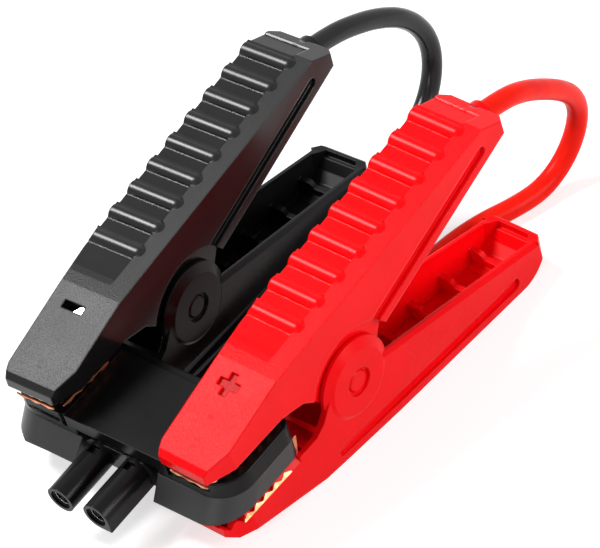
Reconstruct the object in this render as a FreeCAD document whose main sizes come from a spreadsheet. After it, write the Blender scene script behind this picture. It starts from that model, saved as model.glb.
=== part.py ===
import FreeCAD, Part
import math
import os
import re
import Sketcher

Vector = FreeCAD.Vector

# Driving dimensions in millimetres and degrees. Each clamp is drawn in its own frame: the pivot pin's
# centre is at the origin, X runs along the pin, Y from the jaws back to the grips and Z upwards.
SIZES = (
    # The stand: two clamps side by side, leaning nose down on their flat undersides
    ("clamp_spacing", 52),
    ("clamp_splay", 1.7),
    ("stance", 7.2),
    ("black_open", 2.2),
    ("module_left", 1.1),
    # Fits
    ("run_gap", 0.05),
    ("seat_gap", 0.05),
    ("bite_gap", 0.25),
    ("wall", 2.0),
    # Upper lever
    ("jaw_reach", 50.5),
    ("jaw_tip_low", 12.4),
    ("jaw_tip_high", 16.6),
    ("jaw_tip_round", 1.4),
    ("bend_front", 23),
    ("top_high", 25.85),
    ("top_rise", 5.5),
    ("slope_back", 60.5),
    ("lever_back", 69.3),
    ("back_high", 27.3),
    ("grip_front", 9.1),
    ("grip_low", 6.1),
    ("grip_slope", 17.2),
    ("throat_back", 13),
    ("throat_low", 5.5),
    ("throat_front", 17.5),
    ("throat_high", 9.8),
    ("jaw_edge_high", 12),
    ("lever_half", 10.1),
    ("side_draft", 0.4),
    ("tip_half", 7.25),
    ("tip_taper", 8),
    ("back_half", 7.7),
    ("back_corner", 2.1),
    ("flat_half", 5.4),
    ("facet_tip_drop", 10.4),
    ("facet_middle", 31.5),
    ("facet_middle_drop", 3.7),
    ("facet_end", 23.5),
    ("edge_half", 8.5),
    ("edge_drop", 2.2),
    ("edge_end", 6),
    ("rear_wall", 2.8),
    ("front_wall", 1.4),
    # Grip ribs
    ("rib_count", 9),
    ("rib_pitch", 8.2),
    ("rib_first", 7.7),
    ("rib_round", 2.5),
    ("rib_sink", 1.6),
    ("rib_reach", 6.9),
    ("rib_back", 2.1),
    ("ledge_high", 1.0),
    ("panel_right", 4.4),
    ("panel_deep", 0.6),
    ("panel_front", 15.5),
    ("ramp_front", 19.5),
    ("panel_back", 65.6),
    # Polarity marks
    ("mark_front", 28.3),
    ("mark_half", 3.2),
    ("mark_wide", 2.2),
    ("mark_deep", 0.8),
    ("mark_left", 1.1),
    # Ears and pin
    ("recess_round", 15.8),
    ("ear_outer", 8.0),
    ("ear_inner", 6.0),
    ("ear_round", 10),
    ("pin_round", 3.1),
    ("pin_half", 10.5),
    ("pin_chamfer", 0.5),
    ("collar_round", 4.0),
    ("collar_deep", 0.8),
    ("disc_round", 11.8),
    ("disc_face_round", 9.2),
    ("disc_base", 9.4),
    ("disc_face", 10.8),
    ("lower_inner", 8.4),
    # Side grooves
    ("groove_deep", 1.1),
    ("groove_round", 1.55),
    ("groove_back", 58.2),
    ("groove_front", 6),
    ("groove_up", 4.4),
    ("pocket_round", 1.7),
    ("pocket_back", 57.8),
    ("pocket_front", 10.5),
    ("pocket_up", 4.0),
    # Cable exit at the back of the upper lever
    ("exit_back", 70),
    ("exit_high", 23.2),
    ("exit_drop", 15),
    ("cable_round", 2.8),
    ("gland_wall", 1.05),
    ("gland_out", 0.5),
    ("gland_in", 6.5),
    ("tab_half", 5.4),
    ("tab_wall", 3.4),
    # Lower lever
    ("rim_front", 9.6),
    ("rim_front_high", -0.5),
    ("rim_back", 69),
    ("rim_back_high", -18.9),
    ("rim_bevel", 1.0),
    ("lip_back", 72.5),
    ("lip_high", -19.5),
    ("heel_back", 69.5),
    ("heel_round", 11),
    ("knee_front", 18.3),
    ("knee_low", 18.1),
    ("nose_front", 47.6),
    ("nose_low", 9.6),
    ("nose_tip", 50.8),
    ("lower_half", 10.3),
    ("lower_back_half", 9.1),
    ("lip_half", 6.3),
    ("lower_jaw_half", 10),
    ("lower_tip_half", 8.1),
    ("floor_wall", 2.0),
    ("web_count", 4),
    ("web_first", 25),
    ("web_pitch", 12),
    ("web_notch", 2.5),
    ("web_wall", 1.6),
    ("web_high", 4.75),
    # Copper jaws
    ("copper", 1.2),
    ("jaw_back", 24),
    ("upper_web_high", 14.3),
    ("upper_copper_half", 7.2),
    ("lower_web_low", 7.55),
    ("lower_copper_half", 8.6),
    ("tooth_pitch", 3.6),
    ("tooth_deep", 1.8),
    ("front_teeth", 4),
    ("tooth_count", 6),
    ("rivet_round", 1.5),
    ("rivet_head", 2.6),
    ("rivet_head_high", 0.9),
    ("rivet_front", 42),
    ("rivet_rear", 34),
    ("rivet_grip", 2.2),
    # Spring on its bush
    ("wire", 2.0),
    ("coil_round", 5.1),
    ("coil_pitch", 2.75),
    ("coil_turns", 3),
    ("leg_angle", 22),
    ("leg_long", 30),
    ("bush_round", 3.85),
    ("bush_half", 5.85),
    # Lead inside the upper lever
    ("lug_axis_high", 17.9),
    ("lug_wall", 0.75),
    ("lug_plate", 1.0),
    ("lug_half", 3.5),
    ("lug_corner", 1.5),
    ("lug_crimp", 7),
    # Connector module
    ("module_half", 36),
    ("module_front", 48),
    ("module_back", 22),
    ("module_low", 3.2),
    ("shelf_high", 8.0),
    ("split_high", 2.6),
    ("skirt_reach", 4.5),
    ("plate_half", 16.2),
    ("plate_back", 24.5),
    ("plate_up", 0.8),
    ("corner_front", 9),
    ("corner_back", 4),
    ("shell", 1.8),
    ("split_gap", 0.1),
    ("notch_wide", 2.2),
    ("notch_deep", 0.9),
    ("inset_low", 5.0),
    ("inset_deep", 0.4),
    ("inset_side", 3.5),
    ("mouth_left", 14),
    ("mouth_right", 13),
    ("mouth_deep", 5),
    ("mouth_high", 4.7),
    ("relay_long", 12),
    ("relay_wide", 10),
    ("relay_out", 22),
    ("relay_front", 39.5),
    ("can_long", 11),
    ("can_front", 33),
    ("board_low", 0.8),
    ("board_thick", 1.6),
    ("board_half", 25),
    ("board_front", 42),
    ("board_back", 27),
    ("screw_round", 1.4),
    ("screw_head", 2.4),
    ("screw_sunk", 0.2),
    ("screw_head_high", 1.6),
    ("screw_out", 29.5),
    ("screw_front", 41.5),
    ("screw_back", 26.5),
    ("post_round", 3.2),
    # Plug with two barrels
    ("barrel_round", 3.9),
    ("barrel_pitch", 11.5),
    ("barrel_high", 0.7),
    ("barrel_end", 65),
    ("yoke_front", 48.4),
    ("yoke_back", 43.4),
    ("yoke_half", 10.4),
    ("socket_round", 2.9),
    ("socket_deep", 13),
    ("contact_wall", 0.6),
    ("contact_inset", 1.0),
    ("window_half", 1.4),
    # Cable exits of the module
    ("outlet_out", 8),
    ("outlet_drop", 62),
    ("outlet_back", 21.4),
    ("outlet_high", -2.6),
    ("outlet_long", 3.5),
)

AMOUNTS = dict(SIZES)

doc = FreeCAD.newDocument("clamp_set")
sheet = doc.addObject("Spreadsheet::Sheet", "Sizes")
for row, (name, amount) in enumerate(SIZES, start=1):
    sheet.set("A%d" % row, name)
    sheet.set("B%d" % row, str(amount))
    sheet.setAlias("B%d" % row, name)
doc.recompute()


def size(name):
    return float(sheet.get(name))


def bound(text):
    """Turn the names of sizes in a formula into cells of the sheet."""
    return re.sub(r"[a-z_]+", lambda word: "Sizes." + word[0] if word[0] in AMOUNTS else word[0], str(text))


workings = doc.addObject("Spreadsheet::Sheet", "Workings")
WORKED_OUT = {}

# Helpers for bodies, sketches and features

def new_body(name):
    body = doc.addObject("PartDesign::Body", name)
    body.Label = name
    return body


def new_sketch(body, role, name, base=("0", "0", "0"), tilt=None, axis=Vector(1, 0, 0)):
    """A sketch on an origin plane, moved by base and turned by tilt about one of its own axes."""
    drawing = body.newObject("Sketcher::SketchObject", name)
    plane = [item for item in body.Origin.OriginFeatures if item.Role == role][0]
    drawing.AttachmentSupport = [(plane, "")]
    drawing.MapMode = "FlatFace"
    if tilt:
        drawing.AttachmentOffset = FreeCAD.Placement(Vector(), FreeCAD.Rotation(axis, 1))
        drawing.setExpression("AttachmentOffset.Rotation.Angle", bound(tilt))
    for part, text in zip("xyz", base):
        if text != "0":
            drawing.setExpression("AttachmentOffset.Base." + part, bound(text))
    return drawing


def worth(text):
    """The number that a formula of sizes comes to."""
    if text not in WORKED_OUT:
        workings.set("A1", "=" + bound(text))
        workings.recompute()
        WORKED_OUT[text] = float(workings.get("A1"))
    return WORKED_OUT[text]


def hold(drawing, kind, places, text):
    index = drawing.addConstraint(Sketcher.Constraint(kind, *places, worth(text)))
    drawing.setExpression("Constraints[%d]" % index, bound(text))


def polygon(drawing, corners):
    """A closed outline of straight sides, each corner held by two sizes."""
    first = drawing.GeometryCount
    count = len(corners)
    ring = [Vector(worth(across), worth(along), 0) for across, along in corners]
    for i in range(count):
        drawing.addGeometry(Part.LineSegment(ring[i], ring[(i + 1) % count]), False)
    for i in range(count):
        drawing.addConstraint(Sketcher.Constraint("Coincident", first + i, 2, first + (i + 1) % count, 1))
    for i, (across, along) in enumerate(corners):
        hold(drawing, "DistanceX", (-1, 1, first + i, 1), across)
        hold(drawing, "DistanceY", (-1, 1, first + i, 1), along)


def mirrored(corners):
    """The same outline on the other side of the second axis."""
    return [("-(%s)" % across, along) for across, along in corners]


def circle(drawing, across, along, radius):
    middle = Vector(worth(across), worth(along), 0)
    index = drawing.addGeometry(Part.Circle(middle, Vector(0, 0, 1), worth(radius)), False)
    hold(drawing, "DistanceX", (-1, 1, index, 3), across)
    hold(drawing, "DistanceY", (-1, 1, index, 3), along)
    hold(drawing, "Radius", (index,), radius)


def slot(drawing, start, end, radius):
    """A closed slot: two straight sides and two round ends about start and end."""
    first = drawing.GeometryCount
    a = Vector(worth(start[0]), worth(start[1]), 0)
    b = Vector(worth(end[0]), worth(end[1]), 0)
    half = worth(radius)
    lean = math.atan2(b.y - a.y, b.x - a.x)
    side = Vector(math.sin(lean), -math.cos(lean), 0) * half
    drawing.addGeometry(Part.LineSegment(a + side, b + side), False)
    drawing.addGeometry(Part.ArcOfCircle(Part.Circle(b, Vector(0, 0, 1), half),
                                         lean - math.pi / 2, lean + math.pi / 2), False)
    drawing.addGeometry(Part.LineSegment(b - side, a - side), False)
    drawing.addGeometry(Part.ArcOfCircle(Part.Circle(a, Vector(0, 0, 1), half),
                                         lean + math.pi / 2, lean + 3 * math.pi / 2), False)
    for i in range(4):
        drawing.addConstraint(Sketcher.Constraint("Tangent", first + i, 2, first + (i + 1) % 4, 1))
    drawing.addConstraint(Sketcher.Constraint("Equal", first + 1, first + 3))
    for index, place in ((first + 1, end), (first + 3, start)):
        hold(drawing, "DistanceX", (-1, 1, index, 3), place[0])
        hold(drawing, "DistanceY", (-1, 1, index, 3), place[1])
    hold(drawing, "Radius", (first + 1,), radius)


def feature(body, kind, name, drawing, length, midplane=False, back=False):
    """A pad or pocket, checked to change the solid's volume."""
    item = body.newObject("PartDesign::" + kind, name)
    item.Profile = drawing
    item.Midplane = midplane
    item.Reversed = back
    item.setExpression("Length", bound(length))
    before = body.Shape.Volume if body.Shape and not body.Shape.isNull() else 0
    doc.recompute()
    if item.Shape.isNull():
        broken = [(other.Name, other.State) for other in doc.Objects
                  if "Invalid" in other.State or "Error" in other.State]
        raise SystemExit("no shape: %s %s %s" % (body.Name, name, broken))
    change = item.Shape.Volume - before
    if abs(change) < 0.01 or (change > 0) != (kind == "Pad"):
        print("no change:", body.Name, name, round(change, 3))
    return item


def pad(body, name, drawing, length, midplane=False, back=False):
    return feature(body, "Pad", name, drawing, length, midplane, back)


def pocket(body, name, drawing, length, midplane=False, back=False):
    return feature(body, "Pocket", name, drawing, length, midplane, back)


def turned(body, kind, name, drawing):
    """A revolution or groove once round the sketch's first axis."""
    item = body.newObject("PartDesign::" + kind, name)
    item.Profile = drawing
    item.ReferenceAxis = (drawing, ["H_Axis"])
    item.Angle = 360
    doc.recompute()
    return item


def edges_near(shape, places, reach):
    """Names of the edges whose middle lies within reach of one of the places."""
    found = []
    for number, edge in enumerate(shape.Edges, start=1):
        middle = edge.valueAt((edge.FirstParameter + edge.LastParameter) / 2)
        if any(middle.distanceToPoint(place) < reach for place in places):
            found.append("Edge%d" % number)
    return found


def fillet(body, name, base, edges, radius):
    item = body.newObject("PartDesign::Fillet", name)
    item.Base = (base, edges)
    item.setExpression("Radius", bound(radius))
    doc.recompute()
    return item


def route_wire(points, share=0.45):
    """Straight runs joined by tangent arcs, each as large as its two runs allow."""
    edges = []
    radii = []
    start = points[0]
    for before, corner, after in zip(points, points[1:], points[2:]):
        inward = (before - corner).normalize()
        outward = (after - corner).normalize()
        half_turn = (math.pi - inward.getAngle(outward)) / 2
        shorter = min((before - corner).Length, (after - corner).Length)
        radius = share * shorter / math.tan(half_turn)
        radii.append(radius)
        first = corner + inward * (share * shorter)
        last = corner + outward * (share * shorter)
        bisector = (inward + outward).normalize()
        middle = corner + bisector * (radius / math.cos(half_turn) - radius)
        edges.append(Part.LineSegment(start, first).toShape())
        edges.append(Part.Arc(first, middle, last).toShape())
        start = last
    edges.append(Part.LineSegment(start, points[-1]).toShape())
    return Part.Wire(edges), radii


def tube(wire, radius):
    """A solid tube along a wire."""
    start = wire.Edges[0]
    heading = start.tangentAt(start.FirstParameter)
    ring = Part.Wire([Part.Circle(start.valueAt(start.FirstParameter), heading, radius).toShape()])
    return wire.makePipeShell([ring], True, False)


def shaped(name, shape, placement):
    item = doc.addObject("Part::Feature", name)
    item.Label = name
    item.Shape = shape
    item.Placement = placement
    return item


# Places of the clamps and the module in the stand's frame. The origin is on the floor in the middle of
# the footprint, between the plug's end and the lower levers' lips.
STANCE = math.radians(size("stance"))
PIVOT_HIGH = size("knee_front") * math.sin(STANCE) + size("knee_low") * math.cos(STANCE)
FRONT = (-size("barrel_end") * math.cos(STANCE)
         - (size("barrel_high") + size("barrel_round")) * math.sin(STANCE))
BACK = size("lip_back") * math.cos(STANCE) - size("lip_high") * math.sin(STANCE)
PIVOT_BACK = -(FRONT + BACK) / 2
LEAN = FreeCAD.Rotation(Vector(1, 0, 0), size("stance"))


def clamp_place(colour):
    side = 1 if colour == "red" else -1
    swing = FreeCAD.Rotation(Vector(0, 0, 1), -side * size("clamp_splay"))
    middle = Vector(side * size("clamp_spacing") / 2, PIVOT_BACK, PIVOT_HIGH)
    return FreeCAD.Placement(middle, swing * LEAN)


def grip_place(colour):
    """The upper lever's own place: the black clamp stands a little further open than the red one."""
    opened = size("black_open") if colour == "black" else 0
    turn = FreeCAD.Rotation(Vector(1, 0, 0), -opened)
    return clamp_place(colour) * FreeCAD.Placement(Vector(0, 0, 0), turn)


MODULE_PLACE = FreeCAD.Placement(Vector(-size("module_left"), PIVOT_BACK, PIVOT_HIGH), LEAN)

# Formulas used by several pieces
TOP = "top_high + (%s) * tan(top_rise)"
CEILING = "top_high - wall + (%s) * tan(top_rise)"
BEND_HIGH = "(top_high - bend_front * tan(top_rise))"
JAW_RISE = "atan((" + BEND_HIGH + " - jaw_tip_high) / (jaw_reach - jaw_tip_round - bend_front))"
JAW_TOP = BEND_HIGH + " + (bend_front + (%s)) * tan(" + JAW_RISE + ")"
JAW_CEILING = BEND_HIGH + " - 0.75 * wall + (bend_front + (%s)) * tan(" + JAW_RISE + ")"
SLOPE = "(" + TOP % "slope_back" + ") + ((%s) - slope_back) * (back_high - (" + TOP % "slope_back"
SLOPE += ")) / (lever_back - slope_back)"
GRIP_EDGE = "grip_low + ((%s) - grip_front) * tan(grip_slope)"
RIM = "rim_front_high + ((%s) - rim_front) * (rim_back_high - rim_front_high) / (rim_back - rim_front)"
NOSE_UNDER = ("-nose_low - ((%s) + nose_front) * (knee_low - nose_low) / (nose_front - knee_front)")
LOWER_TAPER = "atan((lower_half - lower_back_half) / (rim_back - ear_round))"
UNDERSIDE = "-knee_low - ((%s) + knee_front) * tan(stance)"


def rivet_holes(body, name, low, high, radius):
    """Two blind holes of the jaw's rivets, from the height low up to high."""
    drawing = new_sketch(body, "XY_Plane", name + "_outline", ("0", "0", low))
    circle(drawing, "0", "-rivet_front", radius)
    circle(drawing, "0", "-rivet_rear", radius)
    return pocket(body, name, drawing, "(%s) - (%s)" % (high, low), back=True)


def upper_lever(colour):
    body = new_body(colour + "_upper_lever")
    body.Placement = grip_place(colour)

    side = new_sketch(body, "YZ_Plane", colour + "_upper_side")
    polygon(side, [
        ("-jaw_reach", "jaw_tip_low"),
        ("-jaw_reach", "jaw_tip_high - jaw_tip_round"),
        ("-jaw_reach + jaw_tip_round", "jaw_tip_high"),
        ("-bend_front", BEND_HIGH),
        ("slope_back", TOP % "slope_back"),
        ("lever_back", "back_high"),
        ("lever_back", GRIP_EDGE % "lever_back"),
        ("grip_front", "grip_low"),
        ("-throat_back", "throat_low"),
        ("-throat_front", "throat_high"),
        ("-jaw_back - 1", "jaw_edge_high"),
        ("-jaw_reach + 6", "jaw_edge_high"),
    ])
    pad(body, colour + "_upper_block", side, "2 * lever_half", midplane=True)

    # Sunk panel under the ribs, open to the left, with a ramp in front and a lip at the back
    panel = new_sketch(body, "YZ_Plane", colour + "_panel", ("0", "0", "panel_right"))
    sunk = " - panel_deep / cos(top_rise)"
    polygon(panel, [("-ramp_front", TOP % "-ramp_front"), ("-panel_front", (TOP % "-panel_front") + sunk),
                    ("slope_back - 0.3", (TOP % "slope_back - 0.3") + sunk),
                    ("panel_back", (SLOPE % "panel_back") + sunk),
                    ("panel_back + panel_deep", SLOPE % "panel_back + panel_deep"),
                    ("panel_back + panel_deep", "2 * top_high"), ("-ramp_front", "2 * top_high")])
    pocket(body, colour + "_panel_sunk", panel, "4 * lever_half")

    rib = new_sketch(body, "XY_Plane", colour + "_rib",
                     ("0", "-rib_first * cos(top_rise)",
                      "top_high - rib_sink - rib_first * sin(top_rise)"), tilt="top_rise")
    half, reach, left = size("rib_round"), size("rib_reach"), size("lever_half") + 2
    end = Vector(reach - half, 0, 0)
    crest = Vector(0, half, 0)
    rib.addGeometry(Part.LineSegment(Vector(-left, 0, 0), Vector(reach, 0, 0)), False)
    rib.addGeometry(Part.ArcOfCircle(Part.Circle(end, Vector(0, 0, 1), half), 0, math.pi / 2), False)
    rib.addGeometry(Part.LineSegment(crest + end, crest + Vector(-left, 0, 0)), False)
    rib.addGeometry(Part.LineSegment(crest + Vector(-left, 0, 0), Vector(-left, 0, 0)), False)
    rib.addConstraint(Sketcher.Constraint("Coincident", 0, 2, 1, 1))
    rib.addConstraint(Sketcher.Constraint("Tangent", 1, 2, 2, 1))
    rib.addConstraint(Sketcher.Constraint("Coincident", 2, 2, 3, 1))
    rib.addConstraint(Sketcher.Constraint("Coincident", 3, 2, 0, 1))
    rib.addConstraint(Sketcher.Constraint("PointOnObject", 0, 1, -1))
    rib.addConstraint(Sketcher.Constraint("PointOnObject", 0, 2, -1))
    rib.addConstraint(Sketcher.Constraint("PointOnObject", 1, 3, -1))
    rib.addConstraint(Sketcher.Constraint("Vertical", 3))
    rib.addConstraint(Sketcher.Constraint("Horizontal", 2))
    hold(rib, "DistanceX", (-1, 1, 1, 3), "rib_reach - rib_round")
    hold(rib, "DistanceX", (-1, 1, 0, 1), "-lever_half - 2")
    hold(rib, "Radius", (1,), "rib_round")
    first_rib = turned(body, "Revolution", colour + "_first_rib", rib)
    ledge = new_sketch(body, "YZ_Plane", colour + "_ledge", ("0", "0", "panel_right + 0.2"))
    raised = " + (ledge_high - panel_deep) / cos(top_rise)"
    polygon(ledge, [("-rib_first", (TOP % "-rib_first") + sunk + " - 0.3"),
                    ("-rib_first + rib_back", (TOP % "-rib_first + rib_back") + sunk + " - 0.3"),
                    ("-rib_first + rib_back", (TOP % "-rib_first + rib_back") + raised),
                    ("-rib_first", (TOP % "-rib_first") + raised)])
    first_ledge = pad(body, colour + "_first_ledge", ledge, "panel_right + lever_half + 2", back=True)
    ribs = body.newObject("PartDesign::LinearPattern", colour + "_ribs")
    ribs.Originals = [first_rib, first_ledge]
    ribs.Direction = (rib, ["V_Axis"])
    ribs.setExpression("Length", bound("rib_pitch * (rib_count - 1)"))
    ribs.setExpression("Occurrences", bound("rib_count"))
    body.Tip = ribs
    doc.recompute()

    draft = new_sketch(body, "XZ_Plane", colour + "_upper_draft")
    slant = [("lever_half - (45 - grip_low) * tan(side_draft)", "45"),
             ("lever_half - (2 - grip_low) * tan(side_draft)", "2"),
             ("2 * lever_half", "2"),
             ("2 * lever_half", "45")]
    polygon(draft, slant)
    polygon(draft, mirrored(slant))
    pocket(body, colour + "_upper_drafted", draft, "4 * jaw_reach", midplane=True)

    plan = new_sketch(body, "XY_Plane", colour + "_upper_plan")
    tip = [("tip_half", "-jaw_reach - 1"), ("tip_half", "-jaw_reach"),
           ("lever_half", "-jaw_reach + tip_taper"), ("2 * lever_half", "-jaw_reach + tip_taper"),
           ("2 * lever_half", "-jaw_reach - 1")]
    heel = [("back_half", "lever_back + 1"), ("back_half", "lever_back"),
            ("lever_half", "lever_back - back_corner"), ("2 * lever_half", "lever_back - back_corner"),
            ("2 * lever_half", "lever_back + 1")]
    for corner in (tip, heel):
        polygon(plan, corner)
        polygon(plan, mirrored(corner))
    pocket(body, colour + "_upper_trimmed", plan, "4 * jaw_reach", midplane=True)

    # The jaw's top has a wide facet on its right that turns flat near the ribs, and a narrow one on its left
    sections = []
    for number, (place, flat, drop) in enumerate((
            ("-jaw_reach - 3", "flat_half", "facet_tip_drop"),
            ("-facet_middle", "flat_half", "facet_middle_drop"), ("-facet_end", "flat_half", "-0.3"))):
        cut = new_sketch(body, "XZ_Plane", "%s_facet_%d" % (colour, number), ("0", "0", "-(%s)" % place))
        high = JAW_TOP % place
        polygon(cut, [(flat, high), ("lever_half + 1", high + " - (%s)" % drop),
                      ("lever_half + 1", high + " + 2"), (flat, high + " + 2")])
        sections.append(cut)
    facet = body.newObject("PartDesign::SubtractiveLoft", colour + "_facet")
    facet.Profile = sections[0]
    facet.Sections = sections[1:]
    facet.Ruled = True
    doc.recompute()
    sections = []
    for number, (place, high) in enumerate((
            ("-jaw_reach - 3", JAW_TOP % "-jaw_reach - 3"), ("-bend_front", BEND_HIGH),
            ("-edge_end", (TOP % "-edge_end") + " + edge_drop"))):
        cut = new_sketch(body, "XZ_Plane", "%s_edge_%d" % (colour, number), ("0", "0", "-(%s)" % place))
        steep = "edge_drop / (lever_half - edge_half)"
        polygon(cut, [("-edge_half + 1", "%s + %s" % (high, steep)),
                      ("-lever_half - 1", "%s - edge_drop - %s" % (high, steep)),
                      ("-lever_half - 1", "%s + %s" % (high, steep))])
        sections.append(cut)
    edge = body.newObject("PartDesign::SubtractiveLoft", colour + "_left_edge")
    edge.Profile = sections[0]
    edge.Sections = sections[1:]
    edge.Ruled = True
    doc.recompute()

    # Round recess in both sides that the lower lever's ears turn in
    recess = new_sketch(body, "XY_Plane", colour + "_recess")
    ring = [("ear_outer", "0"), ("2 * lever_half", "0"), ("2 * lever_half", "recess_round"),
            ("ear_outer", "recess_round")]
    polygon(recess, ring)
    polygon(recess, mirrored(ring))
    turned(body, "Groove", colour + "_recessed", recess)

    # Hollows: the grip, the tapered jaw, and between the ears
    grip = new_sketch(body, "YZ_Plane", colour + "_grip_hollow")
    polygon(grip, [("recess_round - 3", "-5"), ("recess_round - 3", CEILING % "recess_round - 3"),
                   ("slope_back - 1", CEILING % "slope_back - 1"),
                   ("lever_back - rear_wall", "back_high + 0.5 * rear_wall - wall"),
                   ("lever_back - rear_wall", "-5")])
    pocket(body, colour + "_grip_hollowed", grip, "2 * (lever_half - 1.4 * wall)", midplane=True)

    jaw = new_sketch(body, "XY_Plane", colour + "_jaw_hollow", ("0", "0", JAW_CEILING % "0"),
                     tilt=JAW_RISE)
    run = "(%s) / cos(" + JAW_RISE + ")"
    inner = [("tip_half - front_wall", run % "-jaw_reach + front_wall"),
             ("upper_copper_half + seat_gap", run % "-jaw_reach + tip_taper"),
             ("upper_copper_half + seat_gap", run % "-bend_front")]
    polygon(jaw, inner + mirrored(inner)[::-1])
    pocket(body, colour + "_jaw_hollowed", jaw, "2 * top_high")
    bend = new_sketch(body, "YZ_Plane", colour + "_bend_hollow")
    bend_roof = "(%s) - panel_deep" % (CEILING % "-recess_round")
    polygon(bend, [("-bend_front - 2", "throat_low - 10"), ("-bend_front - 2", JAW_CEILING % "-bend_front - 2"),
                   ("-bend_front", JAW_CEILING % "-bend_front"), ("-recess_round", bend_roof),
                   ("-recess_round", "throat_low - 10")])
    pocket(body, colour + "_bend_hollowed", bend, "2 * (upper_copper_half + seat_gap)", midplane=True)

    ears = new_sketch(body, "YZ_Plane", colour + "_ears")
    polygon(ears, [("-ear_round", "0"), ("-recess_round + 0.6", "throat_low + 3"),
                   ("-recess_round + 0.6", CEILING % "-recess_round"),
                   ("recess_round - 0.6", CEILING % "recess_round"),
                   ("recess_round - 0.6", "grip_low + 3.5"), ("ear_round", "0")])
    pad(body, colour + "_ear_plates", ears, "2 * ear_outer", midplane=True)
    round_ears = new_sketch(body, "YZ_Plane", colour + "_round_ears")
    circle(round_ears, "0", "0", "ear_round")
    pad(body, colour + "_ear_rounds", round_ears, "2 * ear_outer", midplane=True)
    between = new_sketch(body, "YZ_Plane", colour + "_between_ears")
    polygon(between, [("-recess_round - 0.5", "-recess_round"),
                      ("-recess_round - 0.5", CEILING % "-recess_round"),
                      ("recess_round + 0.5", CEILING % "recess_round"),
                      ("recess_round + 0.5", "-recess_round")])
    pocket(body, colour + "_ears_parted", between, "2 * ear_inner", midplane=True)

    # Posts for the rivets, the spring's seat, and the tab that holds the cable's grommet
    for word, place, low in (("front", "rivet_front", "upper_web_high + seat_gap"),
                             ("rear", "rivet_rear", "upper_web_high + lug_plate + 2 * seat_gap")):
        post = new_sketch(body, "XY_Plane", "%s_%s_post" % (colour, word), ("0", "0", low))
        circle(post, "0", "-" + place, "rivet_head + 0.6")
        pad(body, "%s_%s_post_pad" % (colour, word), post,
            "(%s) + 0.7 - (%s)" % (JAW_CEILING % ("-" + place), low))
    seat = new_sketch(body, "XZ_Plane", colour + "_spring_seat", ("0", "0", "-web_first + web_wall / 2"))
    seat_low = "coil_round * sin(90 + leg_angle) + (web_first + coil_round) * tan(leg_angle) + 0.6 * wire"
    polygon(seat, [("cable_round + 0.6", seat_low), ("lever_half - 1.4 * wall + 0.3", seat_low),
                   ("lever_half - 1.4 * wall + 0.3", (CEILING % "web_first") + " + 0.5"),
                   ("cable_round + 0.6", (CEILING % "web_first") + " + 0.5")])
    pad(body, colour + "_spring_seat_pad", seat, "web_wall", back=True)
    tab = new_sketch(body, "XZ_Plane", colour + "_tab", ("0", "0", "-lever_back + tab_wall"))
    polygon(tab, [("-tab_half", "back_high - 0.4"), ("-tab_half", "exit_high - 2"),
                  ("-tab_half + 2.6", "exit_high - tab_half"), ("tab_half - 2.6", "exit_high - tab_half"),
                  ("tab_half", "exit_high - 2"), ("tab_half", "back_high - 0.4")])
    pad(body, colour + "_tab_pad", tab, "tab_wall", back=True)
    exit_bore = new_sketch(body, "XZ_Plane", colour + "_exit", ("0", "exit_high", "-exit_back"),
                           tilt="-exit_drop")
    circle(exit_bore, "0", "0", "cable_round + gland_wall + run_gap")
    pocket(body, colour + "_exit_bore", exit_bore, "2 * gland_in + 3", midplane=True)

    bore = new_sketch(body, "YZ_Plane", colour + "_upper_bore")
    circle(bore, "0", "0", "pin_round + run_gap")
    pocket(body, colour + "_upper_bored", bore, "4 * ear_outer", midplane=True)
    rivet_holes(body, colour + "_upper_rivet_holes", "upper_web_high - 1",
                "upper_web_high + lug_plate + rivet_grip + 0.4", "rivet_round + run_gap")

    # Long side grooves, open into the round recess
    for word, sign in (("left", "-"), ("right", "")):
        groove = new_sketch(body, "YZ_Plane", "%s_groove_%s" % (colour, word),
                            ("0", "0", sign + "(lever_half - groove_deep - 0.3)"))
        slot(groove, ("groove_front", (GRIP_EDGE % "groove_front") + " + groove_up"),
             ("groove_back", (GRIP_EDGE % "groove_back") + " + groove_up"), "groove_round")
        pocket(body, "%s_grooved_%s" % (colour, word), groove, "5", back=(sign == ""))

    # Polarity: a slot through the black jaw, a sunk cross on the red one
    if colour == "black":
        mark = new_sketch(body, "XY_Plane", "minus_slot")
        polygon(mark, [("-mark_left - mark_half", "-mark_front - mark_wide / 2"),
                       ("-mark_left + mark_half", "-mark_front - mark_wide / 2"),
                       ("-mark_left + mark_half", "-mark_front + mark_wide / 2"),
                       ("-mark_left - mark_half", "-mark_front + mark_wide / 2")])
        pocket(body, "minus_slotted", mark, "2 * top_high", back=True)
    else:
        mark = new_sketch(body, "XY_Plane", "plus_cross", ("0", "0", (JAW_TOP % "0") + " - mark_deep"),
                          tilt=JAW_RISE)
        middle = "-mark_front / cos(%s)" % JAW_RISE
        long, short = "mark_half", "mark_wide / 2"
        polygon(mark, [("-mark_left + " + across, middle + along) for across, along in (
            ("-" + short, " - " + long), (short, " - " + long), (short, " - " + short),
            (long, " - " + short), (long, " + " + short), (short, " + " + short), (short, " + " + long),
            ("-" + short, " + " + long), ("-" + short, " + " + short), ("-" + long, " + " + short),
            ("-" + long, " - " + short), ("-" + short, " - " + short))])
        pocket(body, "plus_sunk", mark, "mark_deep + 3", back=True)
    return body


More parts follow.
